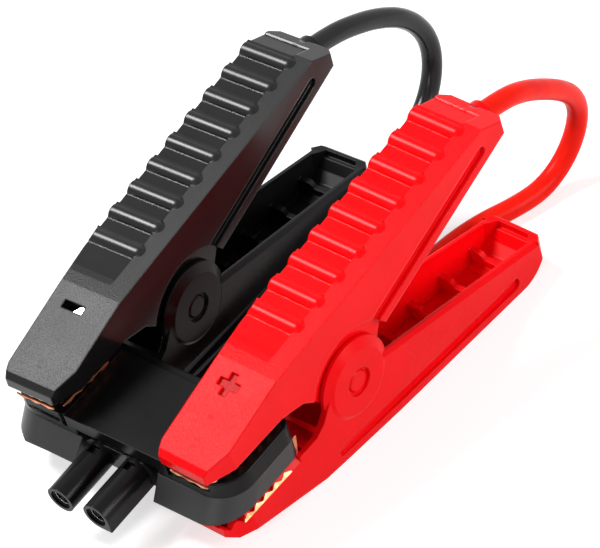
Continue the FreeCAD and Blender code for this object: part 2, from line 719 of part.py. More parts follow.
def lower_lever(colour):
    body = new_body(colour + "_lower_lever")
    body.Placement = clamp_place(colour)

    side = new_sketch(body, "YZ_Plane", colour + "_lower_side")
    polygon(side, [
        ("lip_back", "lip_high"),
        ("rim_back", "rim_back_high"),
        ("rim_front", "rim_front_high"),
        ("0.6 * disc_round", "0.5 * disc_round"),
        ("-0.6 * disc_round", "0.5 * disc_round"),
        ("-throat_back - 1", "-2"),
        ("-throat_front", "-module_low - 0.6"),
        ("-nose_tip", "-module_low - 0.8"),
        ("-nose_tip - 0.2", "-module_low - 3"),
        ("-nose_front", "-nose_low"),
        ("-knee_front", "-knee_low"),
        ("heel_back", UNDERSIDE % "heel_back"),
    ])
    block = pad(body, colour + "_lower_block", side, "2 * lower_half", midplane=True)
    heel_low = -size("knee_low") - (size("heel_back") + size("knee_front")) * math.tan(STANCE)
    heel = edges_near(block.Shape, [Vector(0, size("heel_back"), heel_low)], 0.1)
    fillet(body, colour + "_heel", block, heel, "heel_round")

    plan = new_sketch(body, "XY_Plane", colour + "_lower_plan")
    outside = [("lower_tip_half - 1", "-nose_tip - 1"), ("lower_tip_half", "-nose_tip"),
               ("lower_jaw_half", "-jaw_reach + tip_taper"), ("lower_half", "-ear_round"),
               ("lower_half", "ear_round"), ("lower_back_half", "rim_back + 0.3"),
               ("lip_half", "lip_back"), ("lip_half", "lip_back + 1"), ("2 * lower_half", "lip_back + 1"),
               ("2 * lower_half", "-nose_tip - 1")]
    polygon(plan, outside)
    polygon(plan, mirrored(outside))
    pocket(body, colour + "_lower_trimmed", plan, "4 * jaw_reach", midplane=True)

    # Round ears with a slanted flank
    disc = new_sketch(body, "XY_Plane", colour + "_disc")
    profile = [("lower_inner", "0"), ("lower_inner", "disc_round"), ("disc_base", "disc_round"),
               ("disc_face", "disc_face_round"), ("disc_face", "0")]
    polygon(disc, profile)
    polygon(disc, mirrored(profile))
    turned(body, "Revolution", colour + "_discs", disc)

    # Trough, its floor parallel to the flat underside, and the nose that takes the lower jaw
    trough = new_sketch(body, "XY_Plane", colour + "_trough",
                        ("0", "0", (UNDERSIDE % "0") + " + floor_wall / cos(stance)"), tilt="-stance")
    back_inner = "lower_back_half - wall"
    inner = [("lower_inner", "-throat_front + 0.5"), ("lower_inner", "disc_round"),
             (back_inner, "rim_back / cos(stance) - 1.5 * wall"),
             (back_inner + " - 2.2", "lip_back / cos(stance) - 1.5 * wall")]
    polygon(trough, inner + mirrored(inner)[::-1])
    pocket(body, colour + "_trough_cut", trough, "4 * disc_round", back=True)
    # The trough's floor rises behind the last web, inside the rounded heel
    heel_under = "(" + UNDERSIDE % "heel_back" + ")"
    rise = new_sketch(body, "YZ_Plane", colour + "_heel_rise")
    polygon(rise, [("heel_back - 12", (UNDERSIDE % "heel_back - 12") + " + 0.5 * floor_wall"),
                   ("heel_back - 12", (UNDERSIDE % "heel_back - 12") + " + 1.05 * floor_wall"),
                   ("heel_back - 5.5", heel_under + " + 4.2"), ("heel_back - 2.4", heel_under + " + 5.9"),
                   ("heel_back - 0.3", heel_under + " + 8.2"), ("heel_back + 1", heel_under + " + 8.2"),
                   ("heel_back - 0.9", heel_under + " + 4.6"), ("heel_back - 5", heel_under + " + 2.6")])
    pad(body, colour + "_heel_rise_pad", rise, "2 * (lower_back_half - 0.6 * wall)", midplane=True)
    # Bevel along the rim's outer edge
    for word, sign in (("left", "-"), ("right", "")):
        sections = []
        for number, (place, half) in enumerate((("disc_round - 2.5", "lower_half"),
                                                ("rim_back + 0.3", "lower_back_half"))):
            cut = new_sketch(body, "XZ_Plane", "%s_rim_%s_%d" % (colour, word, number),
                             ("0", "0", "-(%s)" % place))
            high = RIM % place
            polygon(cut, [(sign + "(%s - rim_bevel - 1)" % half, high + " + 1"),
                          (sign + "(%s + 1)" % half, high + " - rim_bevel - 1"),
                          (sign + "(%s + 1)" % half, high + " + 1")])
            sections.append(cut)
        bevel = body.newObject("PartDesign::SubtractiveLoft", "%s_rim_bevel_%s" % (colour, word))
        bevel.Profile = sections[0]
        bevel.Sections = sections[1:]
        bevel.Ruled = True
        doc.recompute()
    back = new_sketch(body, "YZ_Plane", colour + "_rim_back")
    polygon(back, [("lip_back - rim_bevel - 1", "lip_high + 1.2"), ("lip_back + 1", "lip_high + 1.2"),
                   ("lip_back + 1", "lip_high - rim_bevel - 1")])
    pocket(body, colour + "_rim_back_bevelled", back, "4 * lower_half", midplane=True)

    nose = new_sketch(body, "YZ_Plane", colour + "_nose")
    nose_floor = "-lower_web_low - seat_gap"
    polygon(nose, [("-jaw_reach + front_wall", nose_floor), ("-rivet_front + 3", nose_floor),
                   ("-throat_front - 1", "-knee_low + floor_wall + 0.5"),
                   ("-throat_front + 1", "-knee_low + floor_wall + 0.5"),
                   ("-throat_front + 1", "20"), ("-jaw_reach + front_wall", "20")])
    pocket(body, colour + "_nose_cut", nose, "2 * (lower_copper_half - 2.2)", midplane=True)
    well = new_sketch(body, "XY_Plane", colour + "_well", ("0", "0", nose_floor))
    seat = [("lower_tip_half - front_wall", "-jaw_reach + front_wall"),
            ("lower_copper_half + seat_gap", "-jaw_reach + tip_taper"),
            ("lower_copper_half + seat_gap", "-throat_front + 1")]
    polygon(well, seat + mirrored(seat)[::-1])
    pocket(body, colour + "_well_cut", well, "30", back=True)

    # Cross webs in the trough, with a notch in the middle
    for number in range(int(size("web_count"))):
        place = "web_first + %d * web_pitch" % number
        web = new_sketch(body, "XZ_Plane", "%s_web_%d" % (colour, number),
                         ("0", "0", "-(%s) + web_wall / 2" % place))
        low = "(%s) + 0.6 * floor_wall" % (UNDERSIDE % place)
        top = "(%s) + floor_wall + web_high" % (UNDERSIDE % place)
        polygon(web, [("-lower_back_half + 0.5 * wall", low), ("-lower_back_half + 0.5 * wall", top),
                      ("-web_notch - 1.2", top), ("-web_notch", top + " - 1.6"), ("web_notch", top + " - 1.6"),
                      ("web_notch + 1.2", top),
                      ("lower_back_half - 0.5 * wall", top), ("lower_back_half - 0.5 * wall", low)])
        pad(body, "%s_web_pad_%d" % (colour, number), web, "web_wall", back=True)

    # Slanted facet and notches along the jaw's upper edge
    facet = new_sketch(body, "XZ_Plane", colour + "_lower_facet", ("0", "0", "jaw_reach + 2"))
    bevel = [("lower_jaw_half - 1.1", "0"), ("lower_jaw_half - 1.1", "-module_low - 0.8"),
             ("lower_jaw_half + 0.1", "-module_low - 2.3"), ("2 * lower_half", "-module_low - 2.3"),
             ("2 * lower_half", "0")]
    polygon(facet, bevel)
    polygon(facet, mirrored(bevel))
    pocket(body, colour + "_lower_bevelled", facet, "jaw_reach + 2 - jaw_back")
    teeth = new_sketch(body, "YZ_Plane", colour + "_lower_notches")
    for number in range(int(size("tooth_count"))):
        middle = "-rivet_rear - 0.6 - %d * tooth_pitch" % number
        polygon(teeth, [(middle + " - 0.42 * tooth_pitch", "-module_low - 0.7"),
                        (middle, "-module_low - 0.7 - 0.8 * tooth_deep"),
                        (middle + " + 0.42 * tooth_pitch", "-module_low - 0.7")])
    pocket(body, colour + "_lower_notched", teeth, "4 * lower_half", midplane=True)

    # Long pockets in both sides, parallel to the underside
    for word, sign in (("left", "-"), ("right", "")):
        floor = "lower_half + ear_round * tan(%s) - groove_deep" % LOWER_TAPER
        groove = new_sketch(body, "YZ_Plane", "%s_pocket_%s" % (colour, word),
                            ("0", "0", "%s(%s)" % (sign, floor)), "%s(%s)" % (sign, LOWER_TAPER),
                            Vector(0, 1, 0))
        up = " + pocket_up / cos(stance)"
        slot(groove, ("-pocket_front", (UNDERSIDE % "-pocket_front") + up),
             ("pocket_back", (UNDERSIDE % "pocket_back") + up), "pocket_round")
        pocket(body, "%s_pocketed_%s" % (colour, word), groove, "5", back=(sign == ""))

    # Rear rivet's post, rivet holes, pin bore and the counterbores round the pin's ends
    post_low = (NOSE_UNDER % "-rivet_rear - rivet_head") + " + 0.6 * floor_wall"
    post = new_sketch(body, "XY_Plane", colour + "_lower_post", ("0", "0", post_low))
    circle(post, "0", "-rivet_rear", "rivet_head + 0.6")
    pad(body, colour + "_lower_post_pad", post, "-lower_web_low - seat_gap - (%s)" % post_low)
    rivet_holes(body, colour + "_lower_rivet_holes", "-lower_web_low - rivet_grip - 0.3",
                "-lower_web_low + 0.1", "rivet_round + run_gap")
    bore = new_sketch(body, "YZ_Plane", colour + "_lower_bore")
    circle(bore, "0", "0", "pin_round + run_gap")
    pocket(body, colour + "_lower_bored", bore, "4 * disc_face", midplane=True)
    for word, sign in (("left", "-"), ("right", "")):
        collar = new_sketch(body, "YZ_Plane", "%s_collar_%s" % (colour, word),
                            ("0", "0", sign + "(disc_face - collar_deep)"))
        circle(collar, "0", "0", "collar_round")
        pocket(body, "%s_collared_%s" % (colour, word), collar, "2 * collar_deep", back=(sign == ""))
    return body


def copper_jaw(colour, which):
    """A folded copper channel with teeth along its two sides and its front."""
    upper = which == "upper"
    body = new_body("%s_%s_jaw" % (colour, which))
    body.Placement = grip_place(colour) if upper else clamp_place(colour)
    half = "upper_copper_half" if upper else "lower_copper_half"
    nose_half = "tip_half - front_wall - 0.9" if upper else "lower_tip_half - front_wall - 0.5"
    tips = "shelf_high + bite_gap" if upper else "-module_low - 0.2"
    outer = "upper_web_high" if upper else "-lower_web_low"
    web = outer + (" - copper" if upper else " + copper")
    front = "-jaw_reach + front_wall + 1" if upper else "-jaw_reach + front_wall + 0.3"
    toward = "-" if upper else "+"

    side = new_sketch(body, "YZ_Plane", "%s_%s_strip" % (colour, which))
    polygon(side, [(front, tips), ("-jaw_back", tips), ("-jaw_back", outer), (front, outer)])
    pad(body, "%s_%s_block" % (colour, which), side, "2 * " + half, midplane=True)
    plan = new_sketch(body, "XY_Plane", "%s_%s_plan" % (colour, which))
    corner = [(nose_half, front + " - 1"), (nose_half, front), (half, "-jaw_reach + tip_taper + 1.2"),
              ("2 * lower_half", "-jaw_reach + tip_taper + 1.2"), ("2 * lower_half", front + " - 1")]
    polygon(plan, corner)
    polygon(plan, mirrored(corner))
    pocket(body, "%s_%s_cornered" % (colour, which), plan, "60", midplane=True)
    channel = new_sketch(body, "XY_Plane", "%s_%s_channel" % (colour, which), ("0", "0", web))
    inner = [(nose_half + " - copper", front + " + copper"),
             (half + " - copper", "-jaw_reach + tip_taper + 1.6"), (half + " - copper", "-jaw_back + 1")]
    polygon(channel, inner + mirrored(inner)[::-1])
    pocket(body, "%s_%s_folded" % (colour, which), channel, "20", back=not upper)

    teeth = new_sketch(body, "YZ_Plane", "%s_%s_side_teeth" % (colour, which))
    for number in range(int(size("tooth_count"))):
        middle = "-jaw_back - 0.75 * tooth_pitch - %d * tooth_pitch" % number
        deep = tips + (" + tooth_deep" if upper else " - tooth_deep")
        past = tips + (" - 0.3" if upper else " + 0.3")
        polygon(teeth, [(middle + " - 0.45 * tooth_pitch", past), (middle, deep),
                        (middle + " + 0.45 * tooth_pitch", past)])
    pocket(body, "%s_%s_side_cut" % (colour, which), teeth, "4 * lower_half", midplane=True)
    front_teeth = new_sketch(body, "XZ_Plane", "%s_%s_front_teeth" % (colour, which),
                             ("0", "0", "-(%s) + 1" % front))
    for number in range(int(size("front_teeth"))):
        middle = "(%d - 0.5 * (front_teeth - 1)) * 0.85 * tooth_pitch" % number
        polygon(front_teeth, [(middle + " - 0.36 * tooth_pitch", past),
                              (middle, tips + " " + ("+" if upper else "-") + " 0.7 * tooth_deep"),
                              (middle + " + 0.36 * tooth_pitch", past)])
    pocket(body, "%s_%s_front_cut" % (colour, which), front_teeth, "copper + 1.6")

    holes = new_sketch(body, "XY_Plane", "%s_%s_holes" % (colour, which))
    circle(holes, "0", "-rivet_front", "rivet_round + run_gap")
    circle(holes, "0", "-rivet_rear", "rivet_round + run_gap")
    pocket(body, "%s_%s_drilled" % (colour, which), holes, "60", midplane=True)
    return body


def cylinder(name, radius, height, place, axis, colour_place):
    """A Part cylinder of bound sizes, from place along axis."""
    item = doc.addObject("Part::Cylinder", name)
    item.setExpression("Radius", bound(radius))
    item.setExpression("Height", bound(height))
    turn = FreeCAD.Rotation(Vector(0, 0, 1), axis)
    item.Placement = colour_place * FreeCAD.Placement(place, turn)
    return item


def group(name, items):
    item = doc.addObject("Part::Compound", name)
    item.Label = name
    item.Links = items
    return item


def rivet(name, head_place, axis, shank, place):
    head = cylinder(name + "_head", "rivet_head", "rivet_head_high", head_place - axis * size("rivet_head_high"),
                    axis, place)
    body = cylinder(name + "_shank", "rivet_round", shank, head_place - axis * 0.2, axis, place)
    whole = doc.addObject("Part::Fuse", name)
    whole.Base = head
    whole.Tool = body
    return whole


def rivets(colour):
    gap = size("seat_gap")
    upper_face = size("upper_web_high") - size("copper") - gap
    lower_face = -size("lower_web_low") + size("copper") + gap
    up = Vector(0, 0, 1)
    for which, face, axis, grip, place in (
            ("upper", upper_face, up, "copper + lug_plate + rivet_grip", grip_place(colour)),
            ("lower", lower_face, -up, "copper + rivet_grip", clamp_place(colour))):
        pieces = []
        for word in ("front", "rear"):
            start = Vector(0, -size("rivet_" + word), face)
            pieces.append(rivet("%s_%s_rivet_%s" % (colour, which, word), start, axis, grip, place))
        group("%s_%s_jaw_rivets" % (colour, which), pieces)


def pivot_pin(colour):
    body = new_body(colour + "_pivot_pin")
    body.Placement = clamp_place(colour)
    profile = new_sketch(body, "XY_Plane", colour + "_pin_profile")
    polygon(profile, [("-pin_half", "0"), ("-pin_half", "pin_round - pin_chamfer"),
                      ("-pin_half + pin_chamfer", "pin_round"), ("pin_half - pin_chamfer", "pin_round"),
                      ("pin_half", "pin_round - pin_chamfer"), ("pin_half", "0")])
    turned(body, "Revolution", colour + "_pin_turned", profile)
    bush = new_body(colour + "_spring_bush")
    bush.Placement = clamp_place(colour)
    sleeve = new_sketch(bush, "XY_Plane", colour + "_bush_profile")
    polygon(sleeve, [("-bush_half", "pin_round + run_gap"), ("-bush_half", "bush_round"),
                     ("bush_half", "bush_round"), ("bush_half", "pin_round + run_gap")])
    turned(bush, "Revolution", colour + "_bush_turned", sleeve)


def biarc(start, start_way, end, end_way):
    """Two arcs from start to end that keep both directions."""
    chord = end - start
    both = start_way + end_way
    square = 2 * (1 - start_way.dot(end_way))
    linear = 2 * chord.dot(both)
    reach = (-linear + math.sqrt(linear * linear + 4 * square * chord.dot(chord))) / (2 * square)
    first = start + start_way * reach
    last = end - end_way * reach
    join = (first + last) * 0.5
    edges = []
    for a, corner, b in ((start, first, join), (join, last, end)):
        middle = (a + b) * 0.5
        lean = (corner - a).getAngle(b - a)
        rise = (b - a).Length / 2 * math.tan(lean / 2)
        edges.append(Part.Arc(a, middle + (corner - middle).normalize() * rise, b).toShape())
    return edges


def torsion_spring(colour):
    """The coil turns about the pin in quarter turns, and both legs run straight back."""
    radius = size("coil_round")
    lead = size("coil_pitch")
    opened = size("black_open") if colour == "black" else 0
    angle = math.radians(90 + size("leg_angle") - opened / 2)
    total = 2 * math.pi * size("coil_turns") + 2 * (math.pi - angle)
    quarters = math.ceil(total / (math.pi / 2))
    rise = lead / (2 * math.pi)
    turns = [angle + total * i / quarters for i in range(quarters + 1)]
    first, last = turns[0], turns[-1]

    def on_coil(turn):
        across = rise * (turn - angle - total / 2)
        return Vector(across, radius * math.cos(turn), radius * math.sin(turn))

    def heading(turn):
        along = 0 if turn in (first, last) else rise
        return Vector(along, -radius * math.sin(turn), radius * math.cos(turn)).normalize()

    leg = size("leg_long")
    edges = [Part.LineSegment(on_coil(first) - heading(first) * leg, on_coil(first)).toShape()]
    for a, b in zip(turns, turns[1:]):
        edges += biarc(on_coil(a), heading(a), on_coil(b), heading(b))
    edges.append(Part.LineSegment(on_coil(last), on_coil(last) + heading(last) * leg).toShape())
    spring = tube(Part.Wire(edges), size("wire") / 2)
    lean = FreeCAD.Placement(Vector(0, 0, 0), FreeCAD.Rotation(Vector(1, 0, 0), -opened / 2))
    shaped(colour + "_torsion_spring", spring, clamp_place(colour) * lean)

    # Least gap between turns that are at least half a turn apart
    samples = [on_coil(first + (last - first) * i / 400) for i in range(401)]
    apart = int(400 * math.pi / total)
    least = min(a.distanceToPoint(b) for i, a in enumerate(samples) for b in samples[i + apart:])
    print(colour, "spring least gap to itself", round(least - size("wire"), 3))


def cable_gland(colour):
    """The grommet round the cable in the upper lever's tab."""
    body = new_body(colour + "_cable_gland")
    body.Placement = grip_place(colour)
    ring = new_sketch(body, "XZ_Plane", colour + "_gland_ring",
                      ("0", "exit_high - gland_out * sin(exit_drop)",
                       "-exit_back - gland_out * cos(exit_drop)"), tilt="-exit_drop")
    circle(ring, "0", "0", "cable_round + gland_wall")
    circle(ring, "0", "0", "cable_round + run_gap")
    pad(body, colour + "_gland_pad", ring, "gland_out + gland_in")


def lead_points():
    """The inner lead's route, from the grommet's outer face forward to the lug's barrel."""
    drop = math.radians(size("exit_drop"))
    out = size("gland_out")
    high = size("top_high") - size("wall") - size("cable_round") - 0.5
    rise = math.tan(math.radians(size("top_rise")))
    back = Vector(0, math.cos(drop), -math.sin(drop))
    mouth = Vector(0, size("exit_back"), size("exit_high")) + back * out
    inside = mouth - back * (out + size("gland_in") + 4)
    return [mouth, inside,
            Vector(0, size("slope_back") - 22, high + (size("slope_back") - 22) * rise - 0.5),
            Vector(0, 16, high + 16 * rise - 0.6),
            Vector(0, -6, high - 1.6),
            Vector(0, -size("jaw_back") + 8, size("lug_axis_high")),
            Vector(0, -size("jaw_back") - 0.5, size("lug_axis_high"))]


def lead_and_lug(colour):
    wire, radii = route_wire(lead_points(), 0.4)
    lead = tube(wire, size("cable_round"))
    shaped(colour + "_inner_lead", lead, grip_place(colour))

    body = new_body(colour + "_lead_lug")
    body.Placement = grip_place(colour)
    plate = new_sketch(body, "XY_Plane", colour + "_lug_plate", ("0", "0", "upper_web_high + seat_gap"))
    front = "-rivet_rear - lug_half"
    polygon(plate, [("-lug_half", front + " + lug_corner"), ("-lug_half + lug_corner", front),
                    ("lug_half - lug_corner", front), ("lug_half", front + " + lug_corner"),
                    ("lug_half", "-jaw_back + 0.5"), ("-lug_half", "-jaw_back + 0.5")])
    pad(body, colour + "_lug_palm", plate, "lug_plate")
    barrel = new_sketch(body, "XZ_Plane", colour + "_lug_barrel", ("0", "0", "jaw_back + 0.8"))
    circle(barrel, "0", "lug_axis_high", "cable_round + lug_wall")
    pad(body, colour + "_lug_crimp", barrel, "lug_crimp", back=True)
    throat = new_sketch(body, "XZ_Plane", colour + "_lug_throat", ("0", "0", "jaw_back + 0.55"))
    circle(throat, "0", "lug_axis_high", "cable_round + run_gap")
    pocket(body, colour + "_lug_bored", throat, "20")
    hole = new_sketch(body, "XY_Plane", colour + "_lug_hole", ("0", "0", "upper_web_high - 1"))
    circle(hole, "0", "-rivet_rear", "rivet_round + run_gap")
    pocket(body, colour + "_lug_drilled", hole, "lug_plate + 2", back=True)


def module_base():
    body = new_body("module_base")
    body.Placement = MODULE_PLACE
    side = new_sketch(body, "YZ_Plane", "base_side")
    polygon(side, [("-module_front - skirt_reach", "-module_low"),
                   ("-module_front", "split_high - split_gap"), ("-module_back", "split_high - split_gap"),
                   ("-module_back", "-module_low")])
    block = pad(body, "base_block", side, "2 * module_half", midplane=True)
    half = size("module_half")
    middle = (size("split_high") - size("split_gap") - size("module_low")) / 2
    front = [Vector(x, -size("module_front") - size("skirt_reach") / 2, middle) for x in (-half, half)]
    back = [Vector(x, -size("module_back"), middle) for x in (-half, half)]
    rounded = fillet(body, "base_front_corners", block, edges_near(block.Shape, front, 0.5), "corner_front")
    fillet(body, "base_back_corners", rounded, edges_near(rounded.Shape, back, 0.5), "corner_back")

    hollow = new_sketch(body, "XY_Plane", "base_hollow", ("0", "0", "-module_low + shell"))
    inner = [("screw_out - post_round - 0.5", "-module_front + 0.6 * shell"),
             ("module_half - shell - 1", "-module_front + 0.8 * corner_front"),
             ("module_half - shell", "-module_front + 1.1 * corner_front"),
             ("module_half - shell", "-module_back - corner_back"),
             ("module_half - corner_back", "-module_back - shell")]
    polygon(hollow, inner + mirrored(inner)[::-1])
    pocket(body, "base_hollowed", hollow, "20", back=True)

    # Posts for the screws and a block round each cable outlet
    posts = new_sketch(body, "XY_Plane", "base_posts", ("0", "0", "-module_low + 0.5 * shell"))
    for across in ("screw_out", "-screw_out"):
        for along in ("-screw_front", "-screw_back"):
            circle(posts, across, along, "post_round")
    pad(body, "base_post_pads", posts, "module_low - 0.5 * shell + split_high - split_gap")
    blocks = new_sketch(body, "XY_Plane", "outlet_blocks", ("0", "0", "-module_low + 0.5 * shell"))
    block_outline = [("outlet_out - 5.5", "-module_back - 8"), ("outlet_out + 5.5", "-module_back - 8"),
                     ("outlet_out + 5.5", "-module_back - 0.5"), ("outlet_out - 5.5", "-module_back - 0.5")]
    polygon(blocks, block_outline)
    polygon(blocks, mirrored(block_outline))
    pad(body, "outlet_block_pads", blocks, "board_low + module_low - 0.5 * shell - 0.3")
    for word, sign in (("left", "-"), ("right", "")):
        outlet = new_sketch(body, "XZ_Plane", "outlet_" + word,
                            (sign + "outlet_out", "outlet_high", "outlet_back"), tilt="-outlet_drop")
        circle(outlet, "0", "0", "cable_round + gland_wall + run_gap")
        pocket(body, "outlet_bored_" + word, outlet, "2 * outlet_long + 4", midplane=True)

    mouth = new_sketch(body, "XY_Plane", "base_mouth")
    polygon(mouth, [("-mouth_left", "-module_front - 2 * skirt_reach"),
                    ("-mouth_left + 3", "-module_front + mouth_deep"),
                    ("mouth_right - 1", "-module_front + mouth_deep"),
                    ("mouth_right", "-module_front - 2 * skirt_reach")])
    pocket(body, "base_mouth_cut", mouth, "40", midplane=True)

    screws = new_sketch(body, "XY_Plane", "base_screw_holes", ("0", "0", "-module_low - 1"))
    heads = new_sketch(body, "XY_Plane", "base_screw_heads", ("0", "0", "-module_low - 1"))
    for across in ("screw_out", "-screw_out"):
        for along in ("-screw_front", "-screw_back"):
            circle(screws, across, along, "screw_round + run_gap")
            circle(heads, across, along, "screw_head + run_gap")
    pocket(body, "base_screw_bores", screws, "20", back=True)
    pocket(body, "base_head_bores", heads, "1 + screw_sunk + screw_head_high + run_gap", back=True)


def module_cover():
    body = new_body("module_cover")
    body.Placement = MODULE_PLACE
    plan = new_sketch(body, "XY_Plane", "cover_plan", ("0", "0", "split_high"))
    polygon(plan, [("-module_half", "-module_front"), ("module_half", "-module_front"),
                   ("module_half", "-module_back"), ("-module_half", "-module_back")])
    block = pad(body, "cover_block", plan, "shelf_high - split_high")
    half = size("module_half")
    middle = (size("split_high") + size("shelf_high")) / 2
    front = [Vector(x, -size("module_front"), middle) for x in (-half, half)]
    back = [Vector(x, -size("module_back"), middle) for x in (-half, half)]
    rounded = fillet(body, "cover_front_corners", block, edges_near(block.Shape, front, 0.5), "corner_front")
    rear = edges_near(rounded.Shape, back, 0.5)
    cornered = fillet(body, "cover_back_corners", rounded, rear, "corner_back")
    top_edges = []
    for number, edge in enumerate(cornered.Shape.Edges, start=1):
        if edge.BoundBox.ZMin > size("shelf_high") - 0.01:
            top_edges.append("Edge%d" % number)
    fillet(body, "cover_top_round", cornered, top_edges[:1], "0.6")

    plate = new_sketch(body, "XY_Plane", "cover_plate", ("0", "0", "shelf_high - 1"))
    polygon(plate, [("-plate_half", "-module_front"), ("plate_half", "-module_front"),
                    ("plate_half", "-plate_back"), ("-plate_half", "-plate_back")])
    pad(body, "cover_plate_pad", plate, "1 + plate_up")
    notch = new_sketch(body, "XY_Plane", "cover_notches", ("0", "0", "split_high + shell"))
    gap = [("plate_half", "-module_front - 1"), ("plate_half", "-module_front + notch_deep"),
           ("plate_half + notch_wide - 1", "-module_front + notch_deep"),
           ("plate_half + notch_wide", "-module_front - 1")]
    polygon(notch, gap)
    polygon(notch, mirrored(gap))
    pocket(body, "cover_notched", notch, "2 * shelf_high", back=True)
    inset = new_sketch(body, "XY_Plane", "cover_insets", ("0", "0", "inset_low"))
    band = [("plate_half + notch_wide", "-module_front - 1"),
            ("plate_half + notch_wide", "-module_front + inset_deep"),
            ("module_half - inset_side", "-module_front + inset_deep"),
            ("module_half - inset_side", "-module_front - 1")]
    polygon(inset, band)
    polygon(inset, mirrored(band))
    pocket(body, "cover_inset", inset, "2 * shelf_high", back=True)

    hollow = new_sketch(body, "XY_Plane", "cover_hollow", ("0", "0", "shelf_high - shell"))
    inner = [("plate_half - shell", "-module_front + shell"),
             ("plate_half - shell", "-module_front + notch_deep + shell"),
             ("plate_half + notch_wide", "-module_front + notch_deep + shell"),
             ("module_half - corner_front + 1", "-module_front + notch_deep + shell"),
             ("module_half - shell", "-module_front + 1.1 * corner_front"),
             ("module_half - shell", "-module_back - corner_back"),
             ("module_half - corner_back", "-module_back - shell")]
    polygon(hollow, inner + mirrored(inner)[::-1])
    pocket(body, "cover_hollowed", hollow, "20")
    posts = new_sketch(body, "XY_Plane", "cover_posts", ("0", "0", "split_high"))
    holes = new_sketch(body, "XY_Plane", "cover_screw_holes", ("0", "0", "split_high - 1"))
    for across in ("screw_out", "-screw_out"):
        for along in ("-screw_front", "-screw_back"):
            circle(posts, across, along, "post_round")
            circle(holes, across, along, "screw_round + run_gap")
    pad(body, "cover_post_pads", posts, "shelf_high - split_high - 0.5 * shell")
    pocket(body, "cover_screw_bores", holes, "5", back=True)
    mouth = new_sketch(body, "XY_Plane", "cover_mouth", ("0", "0", "mouth_high"))
    polygon(mouth, [("-mouth_left", "-module_front - 1"), ("-mouth_left + 3", "-module_front + mouth_deep"),
                    ("mouth_right - 1", "-module_front + mouth_deep"), ("mouth_right", "-module_front - 1")])
    pocket(body, "cover_mouth_cut", mouth, "20")


def module_inside():
    """The board, its two relays, the capacitor, the screws and the outlets' grommets."""
    body = new_body("circuit_board")
    body.Placement = MODULE_PLACE
    board = new_sketch(body, "XY_Plane", "board_plan", ("0", "0", "board_low"))
    polygon(board, [("-board_half", "-board_front"), ("board_half", "-board_front"),
                    ("board_half", "-board_back - 3"), ("board_half - 3", "-board_back"),
                    ("-board_half + 3", "-board_back"), ("-board_half", "-board_back - 3")])
    pad(body, "board_pad", board, "board_thick")
    top = size("board_low") + size("board_thick")
    room = size("shelf_high") - size("shell") - top - 0.2
    relays = []
    for word, across in (("left", -size("relay_out")), ("right", size("relay_out") - size("relay_long"))):
        relay = doc.addObject("Part::Box", "relay_" + word)
        relay.Length = size("relay_long")
        relay.Width = size("relay_wide")
        relay.Height = room
        corner = Vector(across, -size("relay_front"), top)
        relay.Placement = MODULE_PLACE * FreeCAD.Placement(corner, FreeCAD.Rotation())
        relays.append(relay)
    group("relays", relays)
    rear = Vector(-size("can_long") / 2, -size("can_front"), top + room / 2)
    capacitor = cylinder("power_capacitor", str(room / 2), "can_long", rear, Vector(1, 0, 0), MODULE_PLACE)
    capacitor.Label = "power_capacitor"

    pieces = []
    low = -size("module_low") + size("screw_sunk")
    long = size("shelf_high") - 2.2 - low
    for i, across in enumerate((-size("screw_out"), size("screw_out"))):
        for j, along in enumerate((-size("screw_front"), -size("screw_back"))):
            name = "cover_screw_%d_%d" % (i, j)
            place = Vector(across, along, low)
            head = cylinder(name + "_head", "screw_head", "screw_head_high - 0.05", place, Vector(0, 0, 1),
                            MODULE_PLACE)
            shank = cylinder(name + "_shank", "screw_round", str(long), place, Vector(0, 0, 1), MODULE_PLACE)
            whole = doc.addObject("Part::Fuse", name)
            whole.Base = head
            whole.Tool = shank
            pieces.append(whole)
    group("cover_screws", pieces)

    grommets = []
    drop = math.radians(size("outlet_drop"))
    way = Vector(0, math.cos(drop), -math.sin(drop))
    for side in (-1, 1):
        mouth = Vector(side * size("outlet_out"), -size("outlet_back"), size("outlet_high"))
        name = "grommet_%s" % ("right" if side > 0 else "left")
        inner_end = mouth - way * size("outlet_long")
        sleeve = cylinder(name + "_sleeve", "cable_round + gland_wall", "outlet_long + 1", inner_end, way,
                          MODULE_PLACE)
        bore = cylinder(name + "_bore", "cable_round - 0.4", "outlet_long + 3", inner_end - way, way,
                        MODULE_PLACE)
        cut = doc.addObject("Part::Cut", name)
        cut.Base = sleeve
        cut.Tool = bore
        grommets.append(cut)
    group("module_glands", grommets)


